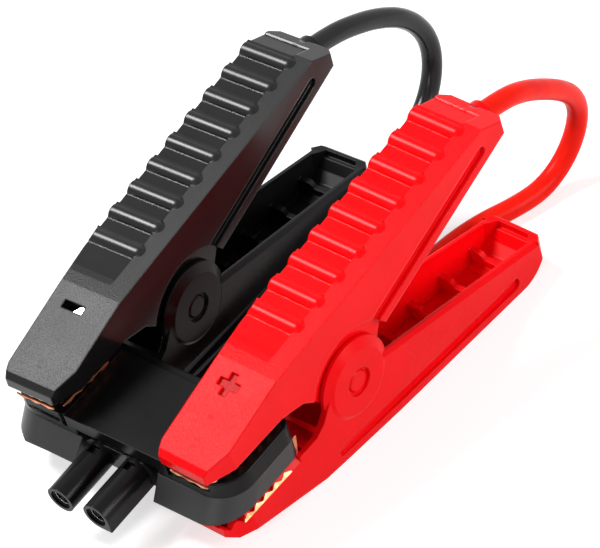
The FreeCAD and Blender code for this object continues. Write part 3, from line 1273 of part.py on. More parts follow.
def plug():
    body = new_body("plug_body")
    body.Placement = MODULE_PLACE
    yoke = new_sketch(body, "XZ_Plane", "yoke", ("0", "0", "yoke_front"))
    polygon(yoke, [("-yoke_half", "barrel_high - barrel_round"), ("-yoke_half", "barrel_high + 2"),
                   ("-yoke_half + 2", "barrel_high + barrel_round - 0.3"),
                   ("yoke_half - 2", "barrel_high + barrel_round - 0.3"), ("yoke_half", "barrel_high + 2"),
                   ("yoke_half", "barrel_high - barrel_round")])
    pad(body, "yoke_pad", yoke, "yoke_front - yoke_back", back=True)
    # Two barrels; the right one has a square outer corner, so the plug fits one way only
    barrels = new_sketch(body, "XZ_Plane", "barrels", ("0", "0", "barrel_end"))
    circle(barrels, "-barrel_pitch / 2", "barrel_high", "barrel_round")
    circle(barrels, "barrel_pitch / 2", "barrel_high", "barrel_round")
    pad(body, "barrel_pads", barrels, "barrel_end - yoke_front + 2", back=True)
    key = new_sketch(body, "XZ_Plane", "key_corner", ("0", "0", "barrel_end"))
    polygon(key, [("barrel_pitch / 2", "barrel_high - barrel_round"),
                  ("barrel_pitch / 2 + barrel_round", "barrel_high - barrel_round"),
                  ("barrel_pitch / 2 + barrel_round", "barrel_high"), ("barrel_pitch / 2", "barrel_high")])
    pad(body, "key_pad", key, "barrel_end - yoke_front + 2", back=True)
    sockets = new_sketch(body, "XZ_Plane", "sockets", ("0", "0", "barrel_end + 1"))
    circle(sockets, "-barrel_pitch / 2", "barrel_high", "socket_round")
    circle(sockets, "barrel_pitch / 2", "barrel_high", "socket_round")
    pocket(body, "socket_bores", sockets, "socket_deep + 1")
    windows = new_sketch(body, "XY_Plane", "windows", ("0", "0", "barrel_high + socket_round - 0.6"))
    for middle in ("-barrel_pitch / 2", "barrel_pitch / 2"):
        polygon(windows, [(middle + " - window_half", "-yoke_front - 3.4"),
                          (middle + " + window_half", "-yoke_front - 3.4"),
                          (middle + " + window_half", "-yoke_front - 1"),
                          (middle + " - window_half", "-yoke_front - 1")])
    pocket(body, "window_cuts", windows, "5", back=True)

    contacts = []
    for side in (-1, 1):
        name = "contact_%s" % ("right" if side > 0 else "left")
        rear = Vector(side * size("barrel_pitch") / 2, -size("barrel_end") + size("socket_deep"),
                      size("barrel_high"))
        way = Vector(0, -1, 0)
        outer = cylinder(name + "_outer", "socket_round - run_gap", "socket_deep - contact_inset", rear, way,
                         MODULE_PLACE)
        inner = cylinder(name + "_inner", "socket_round - run_gap - contact_wall", "socket_deep",
                         rear + way * 1.5, way, MODULE_PLACE)
        cut = doc.addObject("Part::Cut", name)
        cut.Base = outer
        cut.Tool = inner
        contacts.append(cut)
    group("plug_contacts", contacts)


# The red cable's route from its outlet under the module, along the floor between the clamps and up
# behind the grips. The points are chosen by hand in the stand's frame, measured from the pivot's foot.
CABLE_POINTS = {
    "red": (
        (6.9, -16.0, 8.05), (7.4, -9.9, 3.5), (8.2, -2, 2.95), (9.5, 10, 2.95), (10.7, 25, 2.95),
        (11.5, 40, 2.95), (11.9, 54, 2.95), (12.6, 65.5, 2.95), (14.7, 75.5, 2.95), (18.2, 84.2, 2.95),
        (20.3, 92.6, 2.95), (21.3, 99.6, 5.2), (22.3, 104.8, 10.0), (23.3, 107.6, 16.2),
        (24.3, 107.6, 23.0), (25.2, 104.4, 29.6), (26.0, 98.8, 35.4), (26.7, 92.2, 40.8),
        (27.4, 85.0, 46.0)),
    "black": (
        (-9.1, -16.0, 8.05), (-9.6, -9.9, 3.5), (-10.4, -2, 2.95), (-11.7, 10, 2.95), (-12.9, 25, 2.95),
        (-13.7, 40, 2.95), (-14.1, 54, 2.95), (-14.8, 65.5, 2.95), (-16.9, 75.5, 2.95),
        (-20.7, 85, 2.95), (-23.3, 94.6, 2.95), (-24.6, 102.6, 5.4), (-25.5, 108.2, 10.6),
        (-26.2, 111.0, 17.2), (-26.8, 111.0, 24.0), (-27.3, 108.2, 30.6), (-27.7, 103.1, 36.4),
        (-28.0, 96.4, 41.0), (-28.2, 88.4, 44.7)),
}


def cable(colour):
    side = 1 if colour == "red" else -1
    drop = math.radians(size("outlet_drop"))
    way = Vector(0, math.cos(drop), -math.sin(drop))
    outlet = Vector(side * size("outlet_out"), -size("outlet_back"), size("outlet_high")) + way * 1.05
    start = MODULE_PLACE.multVec(outlet)
    mouth = lead_points()[0]
    toward = mouth - lead_points()[1]
    place = grip_place(colour)
    end = place.multVec(mouth)
    last = place.multVec(mouth + toward.normalize() * 9)
    points = [start]
    points += [Vector(x, y + PIVOT_BACK, z) for x, y, z in CABLE_POINTS[colour]]
    points += [last, end]
    wire, radii = route_wire(points)
    solid = tube(wire, size("cable_round"))
    shaped(colour + "_cable", solid, FreeCAD.Placement())
    section = math.pi * size("cable_round") ** 2
    print(colour, "cable length", round(wire.Length, 1), "volume over section times length",
          round(solid.Volume / (section * wire.Length), 4))
    print(colour, "cable radii in diameters", [round(r / (2 * size("cable_round")), 1) for r in radii])
    print(colour, "runs", [round((b - a).Length, 1) for a, b in zip(points, points[1:])])
    corners = solid.tessellate(0.02)[0]
    print(colour, "lowest", round(min(corner.z for corner in corners), 3))


for shade in ("black", "red"):
    upper_lever(shade)
    lower_lever(shade)
    copper_jaw(shade, "upper")
    copper_jaw(shade, "lower")
    rivets(shade)
    pivot_pin(shade)
    torsion_spring(shade)
    cable_gland(shade)
    lead_and_lug(shade)
    cable(shade)
module_base()
module_cover()
module_inside()
plug()
doc.recompute()

NODES = []
for shade in ("black", "red"):
    NODES += ["%s_%s" % (shade, word) for word in (
        "upper_lever", "lower_lever", "upper_jaw", "lower_jaw", "upper_jaw_rivets", "lower_jaw_rivets",
        "pivot_pin", "spring_bush", "torsion_spring", "cable_gland", "inner_lead", "lead_lug", "cable")]
NODES += ["module_base", "module_cover", "circuit_board", "relays", "power_capacitor", "cover_screws",
          "module_glands", "plug_body", "plug_contacts"]

faulty = [item.Name for item in doc.Objects if "Invalid" in item.State or "Error" in item.State]
if faulty:
    raise SystemExit("failed objects: " + ", ".join(faulty))
os.makedirs("parts", exist_ok=True)
for name in NODES:
    item = [candidate for candidate in doc.Objects if candidate.Label == name][0]
    shape = item.Shape
    if shape.isNull() or not shape.isValid() or not shape.Solids:
        raise SystemExit("bad shape: " + name)
    shape.exportStep("parts/%s.step" % name)
    print("%-24s solids %d volume %.1f" % (name, len(shape.Solids), shape.Volume))
print("written", len(NODES))
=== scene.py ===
"""The jump starter pack's clamps dressed for display: a black and a red spring clamp with copper jaws,
their cables, and the connector module that both clamps bite. Metres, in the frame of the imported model."""

import math

import bmesh
import bpy
from mathutils import Matrix, Vector


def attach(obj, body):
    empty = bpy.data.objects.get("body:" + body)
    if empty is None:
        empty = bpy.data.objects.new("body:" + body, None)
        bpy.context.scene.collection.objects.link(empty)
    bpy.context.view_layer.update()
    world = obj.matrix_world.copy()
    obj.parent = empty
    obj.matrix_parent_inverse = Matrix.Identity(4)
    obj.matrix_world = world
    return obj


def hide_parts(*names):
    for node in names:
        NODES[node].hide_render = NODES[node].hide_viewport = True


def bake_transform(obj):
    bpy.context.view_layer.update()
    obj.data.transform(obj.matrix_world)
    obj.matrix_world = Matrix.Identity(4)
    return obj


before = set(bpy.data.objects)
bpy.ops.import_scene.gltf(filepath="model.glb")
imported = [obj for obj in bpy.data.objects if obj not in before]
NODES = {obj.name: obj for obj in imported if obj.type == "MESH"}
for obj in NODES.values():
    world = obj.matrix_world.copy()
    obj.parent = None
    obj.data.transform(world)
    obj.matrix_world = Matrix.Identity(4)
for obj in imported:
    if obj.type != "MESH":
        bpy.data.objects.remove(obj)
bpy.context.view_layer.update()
SIDES = {"black": -1, "red": 1}

# Camera, at the photograph's place and angle. Its picture is 600 wide and 548 high.
PICTURE_WIDE = 600
FOCAL_PIXELS = 4613.0
SENSOR = 36.0
CLIP_NEAR = 0.05
CLIP_FAR = 20
CAMERA_SPOT = Vector((0.62113, -0.58342, 0.78490))
CAMERA_RIGHT = Vector((0.772370, 0.619435, -0.140515))
CAMERA_UP = Vector((-0.336995, 0.587152, 0.735994))
CAMERA_BACK = Vector((0.538404, -0.521107, 0.662245))

# Cables: diameter, and the points that each route follows from the module to its clamp
CABLE_DIAMETER = 0.0056
CABLE_ROUTE = {
    "black": (
        (-0.00910, -0.02495, 0.01413), (-0.00910, -0.02065, 0.00805), (-0.00960, -0.01455, 0.00350),
        (-0.01040, -0.00665, 0.00295), (-0.01170, 0.00535, 0.00295), (-0.01290, 0.02035, 0.00295),
        (-0.01370, 0.03535, 0.00295), (-0.01410, 0.04935, 0.00295), (-0.01480, 0.06085, 0.00295),
        (-0.01690, 0.07085, 0.00295), (-0.02070, 0.08035, 0.00295), (-0.02330, 0.08995, 0.00295),
        (-0.02460, 0.09795, 0.00540), (-0.02550, 0.10325, 0.01040), (-0.02620, 0.10585, 0.01660),
        (-0.02680, 0.10575, 0.02300), (-0.02730, 0.10285, 0.02940), (-0.02770, 0.09785, 0.03510),
        (-0.02800, 0.09125, 0.03970), (-0.02820, 0.08345, 0.04370), (-0.02829, 0.07238, 0.04781),
        (-0.02802, 0.06352, 0.04938),
    ),
    "red": (
        (0.00690, -0.02495, 0.01413), (0.00690, -0.02065, 0.00805), (0.00740, -0.01455, 0.00350),
        (0.00820, -0.00665, 0.00295), (0.00950, 0.00535, 0.00295), (0.01070, 0.02035, 0.00295),
        (0.01150, 0.03535, 0.00295), (0.01190, 0.04935, 0.00295), (0.01260, 0.06085, 0.00295),
        (0.01470, 0.07085, 0.00295), (0.01820, 0.07955, 0.00295), (0.02030, 0.08795, 0.00295),
        (0.02130, 0.09495, 0.00520), (0.02230, 0.10015, 0.01000), (0.02330, 0.10295, 0.01620),
        (0.02430, 0.10295, 0.02300), (0.02520, 0.09975, 0.02960), (0.02600, 0.09415, 0.03540),
        (0.02670, 0.08755, 0.04080), (0.02740, 0.08035, 0.04600), (0.02825, 0.07126, 0.05075),
        (0.02799, 0.06235, 0.05197),
    ),
}
# How finely a cable is cut along its route and round its section
CABLE_STEPS = 16
CABLE_ROUNDNESS = 10

# The clamps' own axes: pivots, the lean of the stand, their splay, and how far the black one stands open
PIVOT = {"black": Vector((-0.026, -0.004654, 0.020251)), "red": Vector((0.026, -0.004654, 0.020251))}
STANCE = math.radians(7.2)
SPLAY = math.radians(1.7)
OPENED = {"black": math.radians(2.2), "red": 0.0}
# The grip's top plane: its height over the pivot and its rise towards the back
TOP_HIGH = 0.02585
TOP_RISE = math.radians(5.5)
# The ribbed panel's front and its right edge
PANEL_FRONT = -0.0175
PANEL_RIGHT = 0.00455
# The jaw's sloping top: where it meets the grip, from the pivot, and its rise
JAW_BACK = -0.023
JAW_HIGH = 0.023635
JAW_RISE = math.radians(15.086)
# The polarity mark in the jaw's top: the depth of its floor, its middle, and how far it reaches at most
MARK_DEEP = 0.00077
MARK_MIDDLE = (-0.0011, -0.0283)
MARK_REACH = 0.0045

# Copper strips with teeth, in a clamp's own axes: start, way along, way that the teeth point, number of
# teeth, pitch, width of the plain band, height of a tooth
STRIP_THICK = 0.00035
LOWER_STRIP = ((0.01012, -0.0274, -0.00542), (0, -1, 0), (-0.625, 0, 0.781), 5, 0.0036, 0.0004, 0.0009)
REAR_STRIP = ((0.0083, -0.0232, -0.0055), (0, 0.2, 0.98), (0, -1, 0.2), 3, 0.0024, 0.0009, 0.0012)
UPPER_STRIP = ((0.0085, -0.0310, 0.0098), (-0.072, -1, 0), (0, 0, -1), 4, 0.0042, 0.0002, 0.0007)
FRONT_STRIP = ((-0.0060, -0.0497, 0.0098), (1, 0, 0), (0, 0, -1), 3, 0.0040, 0.0003, 0.0006)
# A bright plate in the black jaw's slot, in the clamp's axes: its middle, and half its length and width
SLOT_PLATE = (0.00065, -0.0283, 0.02168)
SLOT_PLATE_HALF = (0.00135, 0.00105)

# Corners of the solid's triangles that are nearer than this are one corner
ONE_CORNER = 0.000001

# Kinds of skin. Clouds change the colour, sheen changes the roughness by so much below and above its middle,
# and grain is so deep. A noise has a scale and a detail, and on metal also a roughness and a stretch.
PLASTIC_SKIN = {"clouds": (60, 3), "sheen": (45, 4), "below": 0.05, "above": 0.06,
                "grain": (2600, 2), "deep": 0.000012}
METAL_SKIN = {"clouds": (260, 4, 0.6), "sheen": (700, 3), "below": 0.07, "above": 0.1,
              "grain": (900, 2, 0.5, (1, 0.12, 1)), "deep": 0.000015}
JACKET_SKIN = {"clouds": (120, 3), "sheen": (200, 3), "below": 0.04, "above": 0.05,
               "grain": (1800, 2), "deep": 0.000008}
# The part of a noise's range that is spread from low to high
NOISE_LOW = 0.35
NOISE_HIGH = 0.65
PLASTIC_IOR = 1.49
SILICONE_IOR = 1.42
# Radius that an edge seems to have in the light
PLASTIC_EDGE = 0.00035
PLUG_EDGE = 0.00025
LEVER_EDGE = 0.0006
METAL_EDGE = 0.00012
EDGE_SAMPLES = 6

# The upper lever's plastic: roughness between the ribs, and what the ribs and the flat top add to it
LEVER_SMOOTH = (0.14, 0.19)
RIB_SATIN = 0.09
TOP_MATTE = 0.18
# The grain of its flat top, and the share of that grain that its other faces have
LEVER_GRAIN = (3000, 3)
LEVER_GRAIN_DEEP = 0.0001
GRAIN_ELSEWHERE = 0.1
# Height over the grip's top plane from which a rib is satin instead of smooth
RIB_FOOT = -0.0003
# A face counts as level when the cosine of its lean from the top plane is more than this
LEVEL = 0.9
# Tolerance for a place that lies on a plane
HAIR = 0.0001
# Painted shade on the polarity mark's sunk floor: how dark it is painted, as a share of the darker colour
MARK_PAINTED_SHADE = 0.62

# The darker and the lighter colour of each finish
TONES = {
    "black": ((0.0045, 0.0046, 0.005), (0.0065, 0.0066, 0.007)),
    "red": ((0.80, 0.0012, 0.0035), (0.86, 0.002, 0.005)),
    "module": ((0.0055, 0.0056, 0.006), (0.0075, 0.0076, 0.008)),
    "plate": ((0.003, 0.0031, 0.0034), (0.0045, 0.0046, 0.005)),
    "plug": ((0.004, 0.0041, 0.0045), (0.006, 0.0061, 0.0065)),
    "copper": ((0.62, 0.19, 0.075), (0.93, 0.45, 0.25)),
    "copper_edge": ((0.40, 0.12, 0.05), (0.78, 0.36, 0.19)),
    "steel": ((0.42, 0.42, 0.43), (0.62, 0.62, 0.63)),
    "spring": ((0.25, 0.25, 0.26), (0.45, 0.45, 0.46)),
    "tinned": ((0.55, 0.53, 0.5), (0.74, 0.73, 0.71)),
    "black_jacket": ((0.0065, 0.0065, 0.007), (0.010, 0.010, 0.011)),
    "red_jacket": ((0.78, 0.009, 0.004), (0.88, 0.016, 0.007)),
    "board": ((0.004, 0.05, 0.02), (0.008, 0.075, 0.03)),
}

# Floor, and the glow of floor and room: what lights the model, and what is seen or mirrored
FLOOR_SIZE = 6
FLOOR_COLOUR = (0.62, 0.62, 0.62)
FLOOR_ROUGH = 0.9
FLOOR_GLOW = (0.0, 0.62)
ROOM_GLOW = (0.2, 1.0)
WHITE = (1, 1, 1, 1)
# Soft boxes: place, the spot that each one faces, width, height, watts
SOFT_BOXES = {
    "top_left_box": ((-0.56, -0.16, 0.86), (0, 0.0, 0.02), 0.34, 0.32, 12.0),
    "right_box": ((0.75, 0.25, 0.35), (0, 0.02, 0.03), 0.4, 0.4, 5.0),
    "front_box": ((0.15, -0.9, 0.5), (0, 0, 0.02), 0.4, 0.25, 2.5),
}


def in_scene(name, data):
    """A new object with this data, linked to the scene."""
    made = bpy.data.objects.new(name, data)
    bpy.context.scene.collection.objects.link(made)
    return made


def camera():
    data = bpy.data.cameras.new("camera")
    data.sensor_width = SENSOR
    data.lens = FOCAL_PIXELS / PICTURE_WIDE * SENSOR
    data.clip_start = CLIP_NEAR
    data.clip_end = CLIP_FAR
    seat = in_scene("camera", data)
    turn = Matrix((CAMERA_RIGHT, CAMERA_UP, CAMERA_BACK)).transposed()
    seat.matrix_world = Matrix.Translation(CAMERA_SPOT) @ turn.to_4x4()
    bpy.context.scene.camera = seat


def route_curve(name, points):
    """A smooth line that starts at the first point and ends at the last."""
    curve = bpy.data.curves.new(name, "CURVE")
    curve.dimensions = "3D"
    curve.resolution_u = CABLE_STEPS
    spline = curve.splines.new("NURBS")
    spline.points.add(len(points) - 1)
    for spot, place in zip(spline.points, points):
        spot.co = (*place, 1)
    spline.order_u = 3
    spline.use_endpoint_u = True
    return curve


def mesh_of_curve(curve):
    holder = in_scene("holder", curve)
    bpy.context.view_layer.update()
    mesh = bpy.data.meshes.new_from_object(holder.evaluated_get(bpy.context.evaluated_depsgraph_get()))
    bpy.data.objects.remove(holder)
    return mesh


def piece(name, mesh, finish, body):
    """A visible piece in its finish, riding on a body if one is given."""
    made = in_scene(name, mesh)
    mesh.materials.clear()
    mesh.materials.append(finish)
    if body:
        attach(made, body)
    return made


def free_cable(colour, finish):
    """The cable outside the clamp: a cord from the module's grommet to the grip's rear."""
    curve = route_curve(colour + "_route", CABLE_ROUTE[colour])
    line = mesh_of_curve(curve)
    curve.bevel_depth = CABLE_DIAMETER / 2
    curve.bevel_resolution = CABLE_ROUNDNESS
    curve.use_fill_caps = True
    jacket = mesh_of_curve(curve)
    jacket.shade_smooth()
    made = piece(colour + "_cable_jacket", jacket, finish, None)
    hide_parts(colour + "_cable")
    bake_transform(made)


def clamp_turn(colour, opened):
    """How a clamp's own axes (right, back, up) are turned when it stands open by this angle."""
    side = SIDES[colour]
    return Matrix.Rotation(-side * SPLAY, 3, "Z") @ Matrix.Rotation(STANCE - opened, 3, "X")


def clamp_place(colour, opened):
    """A clamp's own axes, seated on its pivot."""
    place = clamp_turn(colour, opened).to_4x4()
    place.translation = PIVOT[colour]
    return place


def thicken(form, rise):
    """Pulls a flat form out along z into a solid plate."""
    grown = bmesh.ops.extrude_face_region(form, geom=form.faces[:])["geom"]
    raised = [corner for corner in grown if isinstance(corner, bmesh.types.BMVert)]
    bmesh.ops.translate(form, verts=raised, vec=(0, 0, rise))


def outward_mesh(name, form):
    """Makes a finished form a mesh whose faces all point outwards."""
    bmesh.ops.recalc_face_normals(form, faces=form.faces)
    mesh = bpy.data.meshes.new(name)
    form.to_mesh(mesh)
    form.free()
    return mesh


def toothed_strip(name, colour, strip, mirrored, finish, upper):
    """A stamped strip of copper whose one edge is a row of teeth, set on a clamp's upper or lower half."""
    start, way, point, teeth, pitch, band, tooth = strip
    # A unit square, scaled to the band. Every second corner of its far edge is then pulled out to a tip.
    form = bmesh.new()
    bmesh.ops.create_grid(form, x_segments=2 * teeth, y_segments=1, size=0.5)
    bmesh.ops.translate(form, verts=form.verts, vec=(0.5, 0.5, 0))
    far_edge = [corner for corner in form.verts if corner.co.y > 0.5]
    bmesh.ops.scale(form, verts=form.verts, vec=(teeth * pitch, band, 1))
    for corner in far_edge:
        column = round(corner.co.x / pitch * 2)
        if column % 2:
            bmesh.ops.translate(form, verts=[corner], vec=(0, tooth, 0))
    thicken(form, STRIP_THICK)
    along = Vector(way).normalized()
    up = (Vector(point) - along * Vector(point).dot(along)).normalized()
    seat = Matrix((along, up, along.cross(up))).transposed().to_4x4()
    seat.translation = Vector(start)
    bmesh.ops.transform(form, matrix=seat, verts=form.verts)
    if mirrored:
        bmesh.ops.scale(form, verts=form.verts, vec=(-1, 1, 1))
    place = clamp_place(colour, OPENED[colour] if upper else 0.0)
    bmesh.ops.transform(form, matrix=place, verts=form.verts)
    body = colour + "_grip" if upper else "root"
    piece(name, outward_mesh(name, form), finish, body)


def copper_edges(finish):
    for colour in SIDES:
        for word, mirrored in (("right", False), ("left", True)):
            toothed_strip("%s_lower_%s_teeth" % (colour, word), colour, LOWER_STRIP, mirrored, finish, False)
            toothed_strip("%s_rear_%s_teeth" % (colour, word), colour, REAR_STRIP, mirrored, finish, False)
        toothed_strip(colour + "_front_edge_teeth", colour, FRONT_STRIP, False, finish, True)
    toothed_strip("black_upper_edge_teeth", "black", UPPER_STRIP, False, finish, True)


def slot_plate(finish):
    """A slanted piece of plated metal that shows in the right part of the minus slot."""
    form = bmesh.new()
    bmesh.ops.create_grid(form, x_segments=1, y_segments=1, size=1)
    bmesh.ops.scale(form, verts=form.verts, vec=(*SLOT_PLATE_HALF, 1))
    slanted = [corner for corner in form.verts if corner.co.x < 0 < corner.co.y]
    bmesh.ops.translate(form, verts=slanted, vec=(SLOT_PLATE_HALF[0], 0, 0))
    thicken(form, -STRIP_THICK)
    seat = Matrix.Translation(SLOT_PLATE) @ Matrix.Rotation(JAW_RISE, 4, "X")
    place = clamp_place("black", OPENED["black"])
    bmesh.ops.transform(form, matrix=place @ seat, verts=form.verts)
    mesh = outward_mesh("black_slot_plate", form)
    piece("black_slot_plate", mesh, finish, "black_grip")


def wound_spring(colour, finish):
    """The torsion spring again, as one smooth mesh with its close corners merged, in place of the CAD node.
    """
    node = NODES[colour + "_torsion_spring"]
    form = bmesh.new()
    form.from_mesh(node.data)
    bmesh.ops.remove_doubles(form, verts=form.verts, dist=ONE_CORNER)
    mesh = outward_mesh(colour + "_wound_spring", form)
    mesh.shade_smooth()
    made = piece(colour + "_wound_spring", mesh, finish, None)
    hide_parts(node.name)
    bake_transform(made)


class Finish:
    """A material and the few node moves that every finish here is made of."""

    def __init__(self, name):
        self.material = bpy.data.materials.new(name)
        self.material.use_nodes = True
        self.tree = self.material.node_tree
        self.tree.nodes.clear()
        self.shader = self.add("BsdfPrincipled")
        out = self.add("OutputMaterial")
        self.feed(self.shader.outputs["BSDF"], out.inputs["Surface"])
        places = self.add("TexCoord")
        self.where = places.outputs["Object"]
        self.own_normal = places.outputs["Normal"]
        self.normal = None

    def add(self, kind):
        return self.tree.nodes.new("ShaderNode" + kind)

    def feed(self, value, socket):
        """Links another node's output to a socket, or sets the socket to a plain value."""
        if isinstance(value, bpy.types.NodeSocket):
            self.tree.links.new(value, socket)
        else:
            socket.default_value = value

    def drive(self, value, name):
        self.feed(value, self.shader.inputs[name])

    def set(self, **values):
        for key, value in values.items():
            self.drive(value, key.replace("_", " "))

    def noise(self, scale, detail, rough=0.5, stretch=None):
        where = self.where
        if stretch:
            mapping = self.add("Mapping")
            self.feed(stretch, mapping.inputs["Scale"])
            self.feed(where, mapping.inputs["Vector"])
            where = mapping.outputs["Vector"]
        made = self.add("TexNoise")
        self.feed(scale, made.inputs["Scale"])
        self.feed(detail, made.inputs["Detail"])
        self.feed(rough, made.inputs["Roughness"])
        self.feed(where, made.inputs["Vector"])
        return made.outputs["Fac"]

    def ramp(self, value, low, high):
        """A noise spread from low to high."""
        made = self.add("MapRange")
        self.feed(NOISE_LOW, made.inputs["From Min"])
        self.feed(NOISE_HIGH, made.inputs["From Max"])
        self.feed(low, made.inputs["To Min"])
        self.feed(high, made.inputs["To Max"])
        self.feed(value, made.inputs["Value"])
        return made.outputs["Result"]

    def soft_edges(self, radius):
        made = self.add("Bevel")
        made.samples = EDGE_SAMPLES
        self.feed(radius, made.inputs["Radius"])
        self.normal = made.outputs["Normal"]
        self.drive(self.normal, "Normal")

    def bump(self, value, depth):
        made = self.add("Bump")
        self.feed(depth, made.inputs["Distance"])
        self.feed(value, made.inputs["Height"])
        if self.normal:
            self.feed(self.normal, made.inputs["Normal"])
        self.normal = made.outputs["Normal"]
        self.drive(self.normal, "Normal")

    def mix(self, factor, first, second):
        """One colour gone over into another by a factor from 0 to 1."""
        made = self.add("Mix")
        made.data_type = "RGBA"
        self.feed(first, made.inputs["A"])
        self.feed(second, made.inputs["B"])
        self.feed(factor, made.inputs["Factor"])
        return made.outputs["Result"]

    def tint(self, clouds, tones):
        """The colour: clouds of the lighter tone on the darker one."""
        dark, light = tones
        return self.mix(self.ramp(self.noise(*clouds), 0, 1), (*dark, 1), (*light, 1))

    def skin(self, kind, tones, rough):
        """The colour, the sheen and the grain of one kind of skin."""
        self.drive(self.tint(kind["clouds"], tones), "Base Color")
        sheen = self.ramp(self.noise(*kind["sheen"]), rough - kind["below"], rough + kind["above"])
        self.drive(sheen, "Roughness")
        self.bump(self.noise(*kind["grain"]), kind["deep"])

    def maths(self, operation, *values):
        made = self.add("Math")
        made.operation = operation
        for place, value in enumerate(values):
            self.feed(value, made.inputs[place])
        return made.outputs[0]

    def measure(self, value, axis, start):
        """How far a place lies from start along axis."""
        made = self.add("VectorMath")
        made.operation = "DOT_PRODUCT"
        self.feed(axis, made.inputs[1])
        self.feed(value, made.inputs[0])
        return self.maths("SUBTRACT", made.outputs["Value"], start.dot(axis))


def moulded_plastic(name, tones, rough, gloss, edge=PLASTIC_EDGE):
    """Injection moulded plastic with an eroded mould's fine grain and a slow change of sheen."""
    made = Finish(name)
    made.set(IOR=PLASTIC_IOR, Specular_IOR_Level=gloss)
    made.soft_edges(edge)
    made.skin(PLASTIC_SKIN, tones, rough)
    return made.material


def lever_plastic(name, colour, tones, gloss):
    """The upper lever's plastic: textured on its flat top and jaw, satin on the ribs, smooth between them."""
    made = Finish(name)
    made.set(IOR=PLASTIC_IOR, Specular_IOR_Level=gloss)
    made.soft_edges(LEVER_EDGE)
    pivot = PIVOT[colour]
    across, along, up = clamp_turn(colour, OPENED[colour]).col
    top = up * math.cos(TOP_RISE) - along * math.sin(TOP_RISE)
    right = made.measure(made.where, across, pivot)
    back = made.measure(made.where, along, pivot)
    high = made.measure(made.where, top, pivot + up * TOP_HIGH)
    panel = made.maths("MAXIMUM", made.maths("LESS_THAN", right, PANEL_RIGHT),
                       made.maths("GREATER_THAN", high, HAIR))
    panel = made.maths("MULTIPLY", panel, made.maths("GREATER_THAN", back, PANEL_FRONT))
    facing = made.measure(made.own_normal, top, Vector((0, 0, 0)))
    level = made.maths("GREATER_THAN", facing, LEVEL)
    matte = made.maths("MULTIPLY", level, made.maths("SUBTRACT", 1.0, panel))
    rib = made.maths("MULTIPLY", panel, made.maths("GREATER_THAN", high, RIB_FOOT))

    # Painted shade: the polarity mark's sunk floor is painted darker than the plastic around it, as shade in
    # its recess
    jaw = up * math.cos(JAW_RISE) - along * math.sin(JAW_RISE)
    depth = made.measure(made.where, jaw, pivot + along * JAW_BACK + up * JAW_HIGH)
    sunk = made.maths("COMPARE", depth, -MARK_DEEP, HAIR)
    for value, middle in zip((right, back), MARK_MIDDLE):
        sunk = made.maths("MULTIPLY", sunk, made.maths("COMPARE", value, middle, MARK_REACH))
    painted_shade = [MARK_PAINTED_SHADE * channel for channel in tones[0]]
    colours = made.mix(sunk, made.tint(PLASTIC_SKIN["clouds"], tones), (*painted_shade, 1))
    made.drive(colours, "Base Color")

    smooth = made.ramp(made.noise(*PLASTIC_SKIN["sheen"]), *LEVER_SMOOTH)
    satin = made.maths("MULTIPLY_ADD", rib, RIB_SATIN, smooth)
    made.drive(made.maths("MULTIPLY_ADD", matte, TOP_MATTE, satin), "Roughness")
    share = made.maths("MULTIPLY_ADD", matte, 1 - GRAIN_ELSEWHERE, GRAIN_ELSEWHERE)
    made.bump(made.maths("MULTIPLY", made.noise(*LEVER_GRAIN), share), LEVER_GRAIN_DEEP)
    return made.material


def sheet_metal(name, tones, rough):
    """Stamped and plated sheet metal with fine drawn lines and a little tarnish."""
    made = Finish(name)
    made.set(Metallic=1.0)
    made.soft_edges(METAL_EDGE)
    made.skin(METAL_SKIN, tones, rough)
    return made.material


def silicone(name, tones, rough, gloss):
    """A soft cable jacket with a faint skin texture."""
    made = Finish(name)
    made.set(IOR=SILICONE_IOR, Specular_IOR_Level=gloss)
    made.skin(JACKET_SKIN, tones, rough)
    return made.material


def dress(node, finish):
    """Gives one of the CAD nodes its finish."""
    slots = NODES[node].data.materials
    for place in range(len(slots)):
        slots[place] = FINISHES[finish]


def studio_glow(tree, levels):
    """A background's strength: the light it gives, and how it shows to the camera, in mirrors and
    through glass."""
    lit, seen = levels
    path = tree.nodes.new("ShaderNodeLightPath")
    shown = path.outputs["Is Camera Ray"]
    for ray in ("Is Glossy Ray", "Is Transmission Ray"):
        either = tree.nodes.new("ShaderNodeMath")
        either.operation = "MAXIMUM"
        tree.links.new(shown, either.inputs[0])
        tree.links.new(path.outputs[ray], either.inputs[1])
        shown = either.outputs[0]
    strength = tree.nodes.new("ShaderNodeMapRange")
    strength.inputs["To Min"].default_value = lit
    strength.inputs["To Max"].default_value = seen
    tree.links.new(shown, strength.inputs["Value"])
    return strength.outputs["Result"]


def floor():
    """A matt floor that keeps the shadow. Its glow is only seen, and lights nothing."""
    bpy.ops.mesh.primitive_plane_add(size=FLOOR_SIZE, location=(0, 0, 0))
    ground = bpy.context.object
    ground.name = "floor"
    paint = bpy.data.materials.new("studio_white")
    paint.use_nodes = True
    tree = paint.node_tree
    shader = tree.nodes["Principled BSDF"]
    shader.inputs["Base Color"].default_value = (*FLOOR_COLOUR, 1)
    shader.inputs["Roughness"].default_value = FLOOR_ROUGH
    shader.inputs["Specular IOR Level"].default_value = 0.0
    shader.inputs["Emission Color"].default_value = WHITE
    tree.links.new(studio_glow(tree, FLOOR_GLOW), shader.inputs["Emission Strength"])
    ground.data.materials.append(paint)


def surroundings():
    world = bpy.data.worlds.new("studio")
    world.use_nodes = True
    bpy.context.scene.world = world
    tree = world.node_tree
    room = tree.nodes["Background"]
    room.inputs["Color"].default_value = WHITE
    tree.links.new(studio_glow(tree, ROOM_GLOW), room.inputs["Strength"])


def soft_box(name, spot, aim, wide, high, watts):
    data = bpy.data.lights.new(name, "AREA")
    data.shape = "RECTANGLE"
    data.size = wide
    data.size_y = high
    data.energy = watts
    lamp = in_scene(name, data)
    lamp.location = spot
    lamp.rotation_euler = (Vector(aim) - Vector(spot)).to_track_quat("-Z", "Y").to_euler()


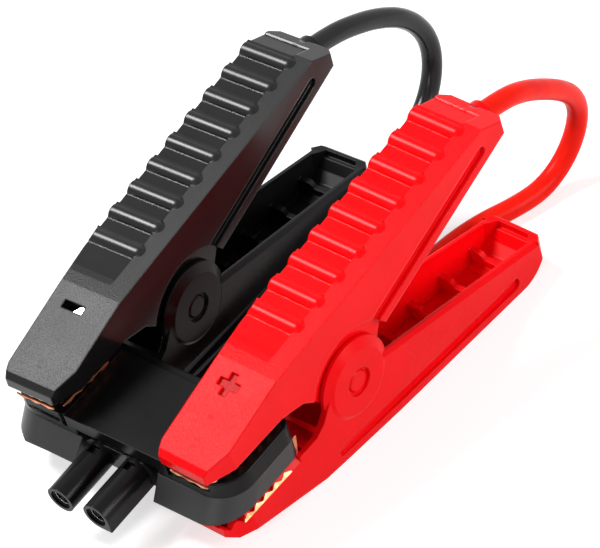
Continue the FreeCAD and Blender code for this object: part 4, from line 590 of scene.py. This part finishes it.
camera()
FINISHES = {
    "black": moulded_plastic("black_plastic", TONES["black"], rough=0.28, gloss=0.16),
    "red": moulded_plastic("red_plastic", TONES["red"], rough=0.28, gloss=0.09),
    "black_grip": lever_plastic("black_grip", "black", TONES["black"], gloss=0.29),
    "red_grip": lever_plastic("red_grip", "red", TONES["red"], gloss=0.09),
    "module": moulded_plastic("module_plastic", TONES["module"], rough=0.36, gloss=0.5),
    "plate": moulded_plastic("plate_plastic", TONES["plate"], rough=0.28, gloss=0.1),
    "plug": moulded_plastic("plug_plastic", TONES["plug"], rough=0.22, gloss=0.12, edge=PLUG_EDGE),
    "copper": sheet_metal("copper", TONES["copper"], rough=0.24),
    "copper_edge": sheet_metal("copper_edge", TONES["copper_edge"], rough=0.42),
    "steel": sheet_metal("zinc_plated_steel", TONES["steel"], rough=0.26),
    "spring": sheet_metal("spring_steel", TONES["spring"], rough=0.3),
    "tinned": sheet_metal("tinned_copper", TONES["tinned"], rough=0.18),
    "black_jacket": silicone("black_jacket", TONES["black_jacket"], rough=0.24, gloss=0.3),
    "red_jacket": silicone("red_jacket", TONES["red_jacket"], rough=0.34, gloss=0.08),
    "board": moulded_plastic("circuit_board", TONES["board"], rough=0.35, gloss=0.35),
}

copper_edges(FINISHES["copper_edge"])
slot_plate(FINISHES["tinned"])
for colour in SIDES:
    wound_spring(colour, FINISHES["spring"])
for colour in SIDES:
    free_cable(colour, FINISHES[colour + "_jacket"])

# The finish of each solid, where {} stands for the clamp's colour
CLAMP_FINISH = {
    "upper_lever": "{}_grip", "lower_lever": "{}", "cable_gland": "{}", "upper_jaw": "copper",
    "lower_jaw": "copper", "upper_jaw_rivets": "steel", "lower_jaw_rivets": "steel", "pivot_pin": "{}",
    "spring_bush": "black", "torsion_spring": "spring", "inner_lead": "{}_jacket", "lead_lug": "tinned",
}
MODULE_FINISH = {
    "module_base": "module", "module_cover": "plate", "circuit_board": "board", "relays": "black",
    "power_capacitor": "steel", "cover_screws": "steel", "module_glands": "black_jacket",
    "plug_body": "plug", "plug_contacts": "tinned",
}
for colour in SIDES:
    for part, finish in CLAMP_FINISH.items():
        dress("%s_%s" % (colour, part), finish.format(colour))
for part, finish in MODULE_FINISH.items():
    dress(part, finish)

floor()
surroundings()
for name, values in SOFT_BOXES.items():
    soft_box(name, *values)

bpy.context.scene.view_settings.view_transform = "Standard"
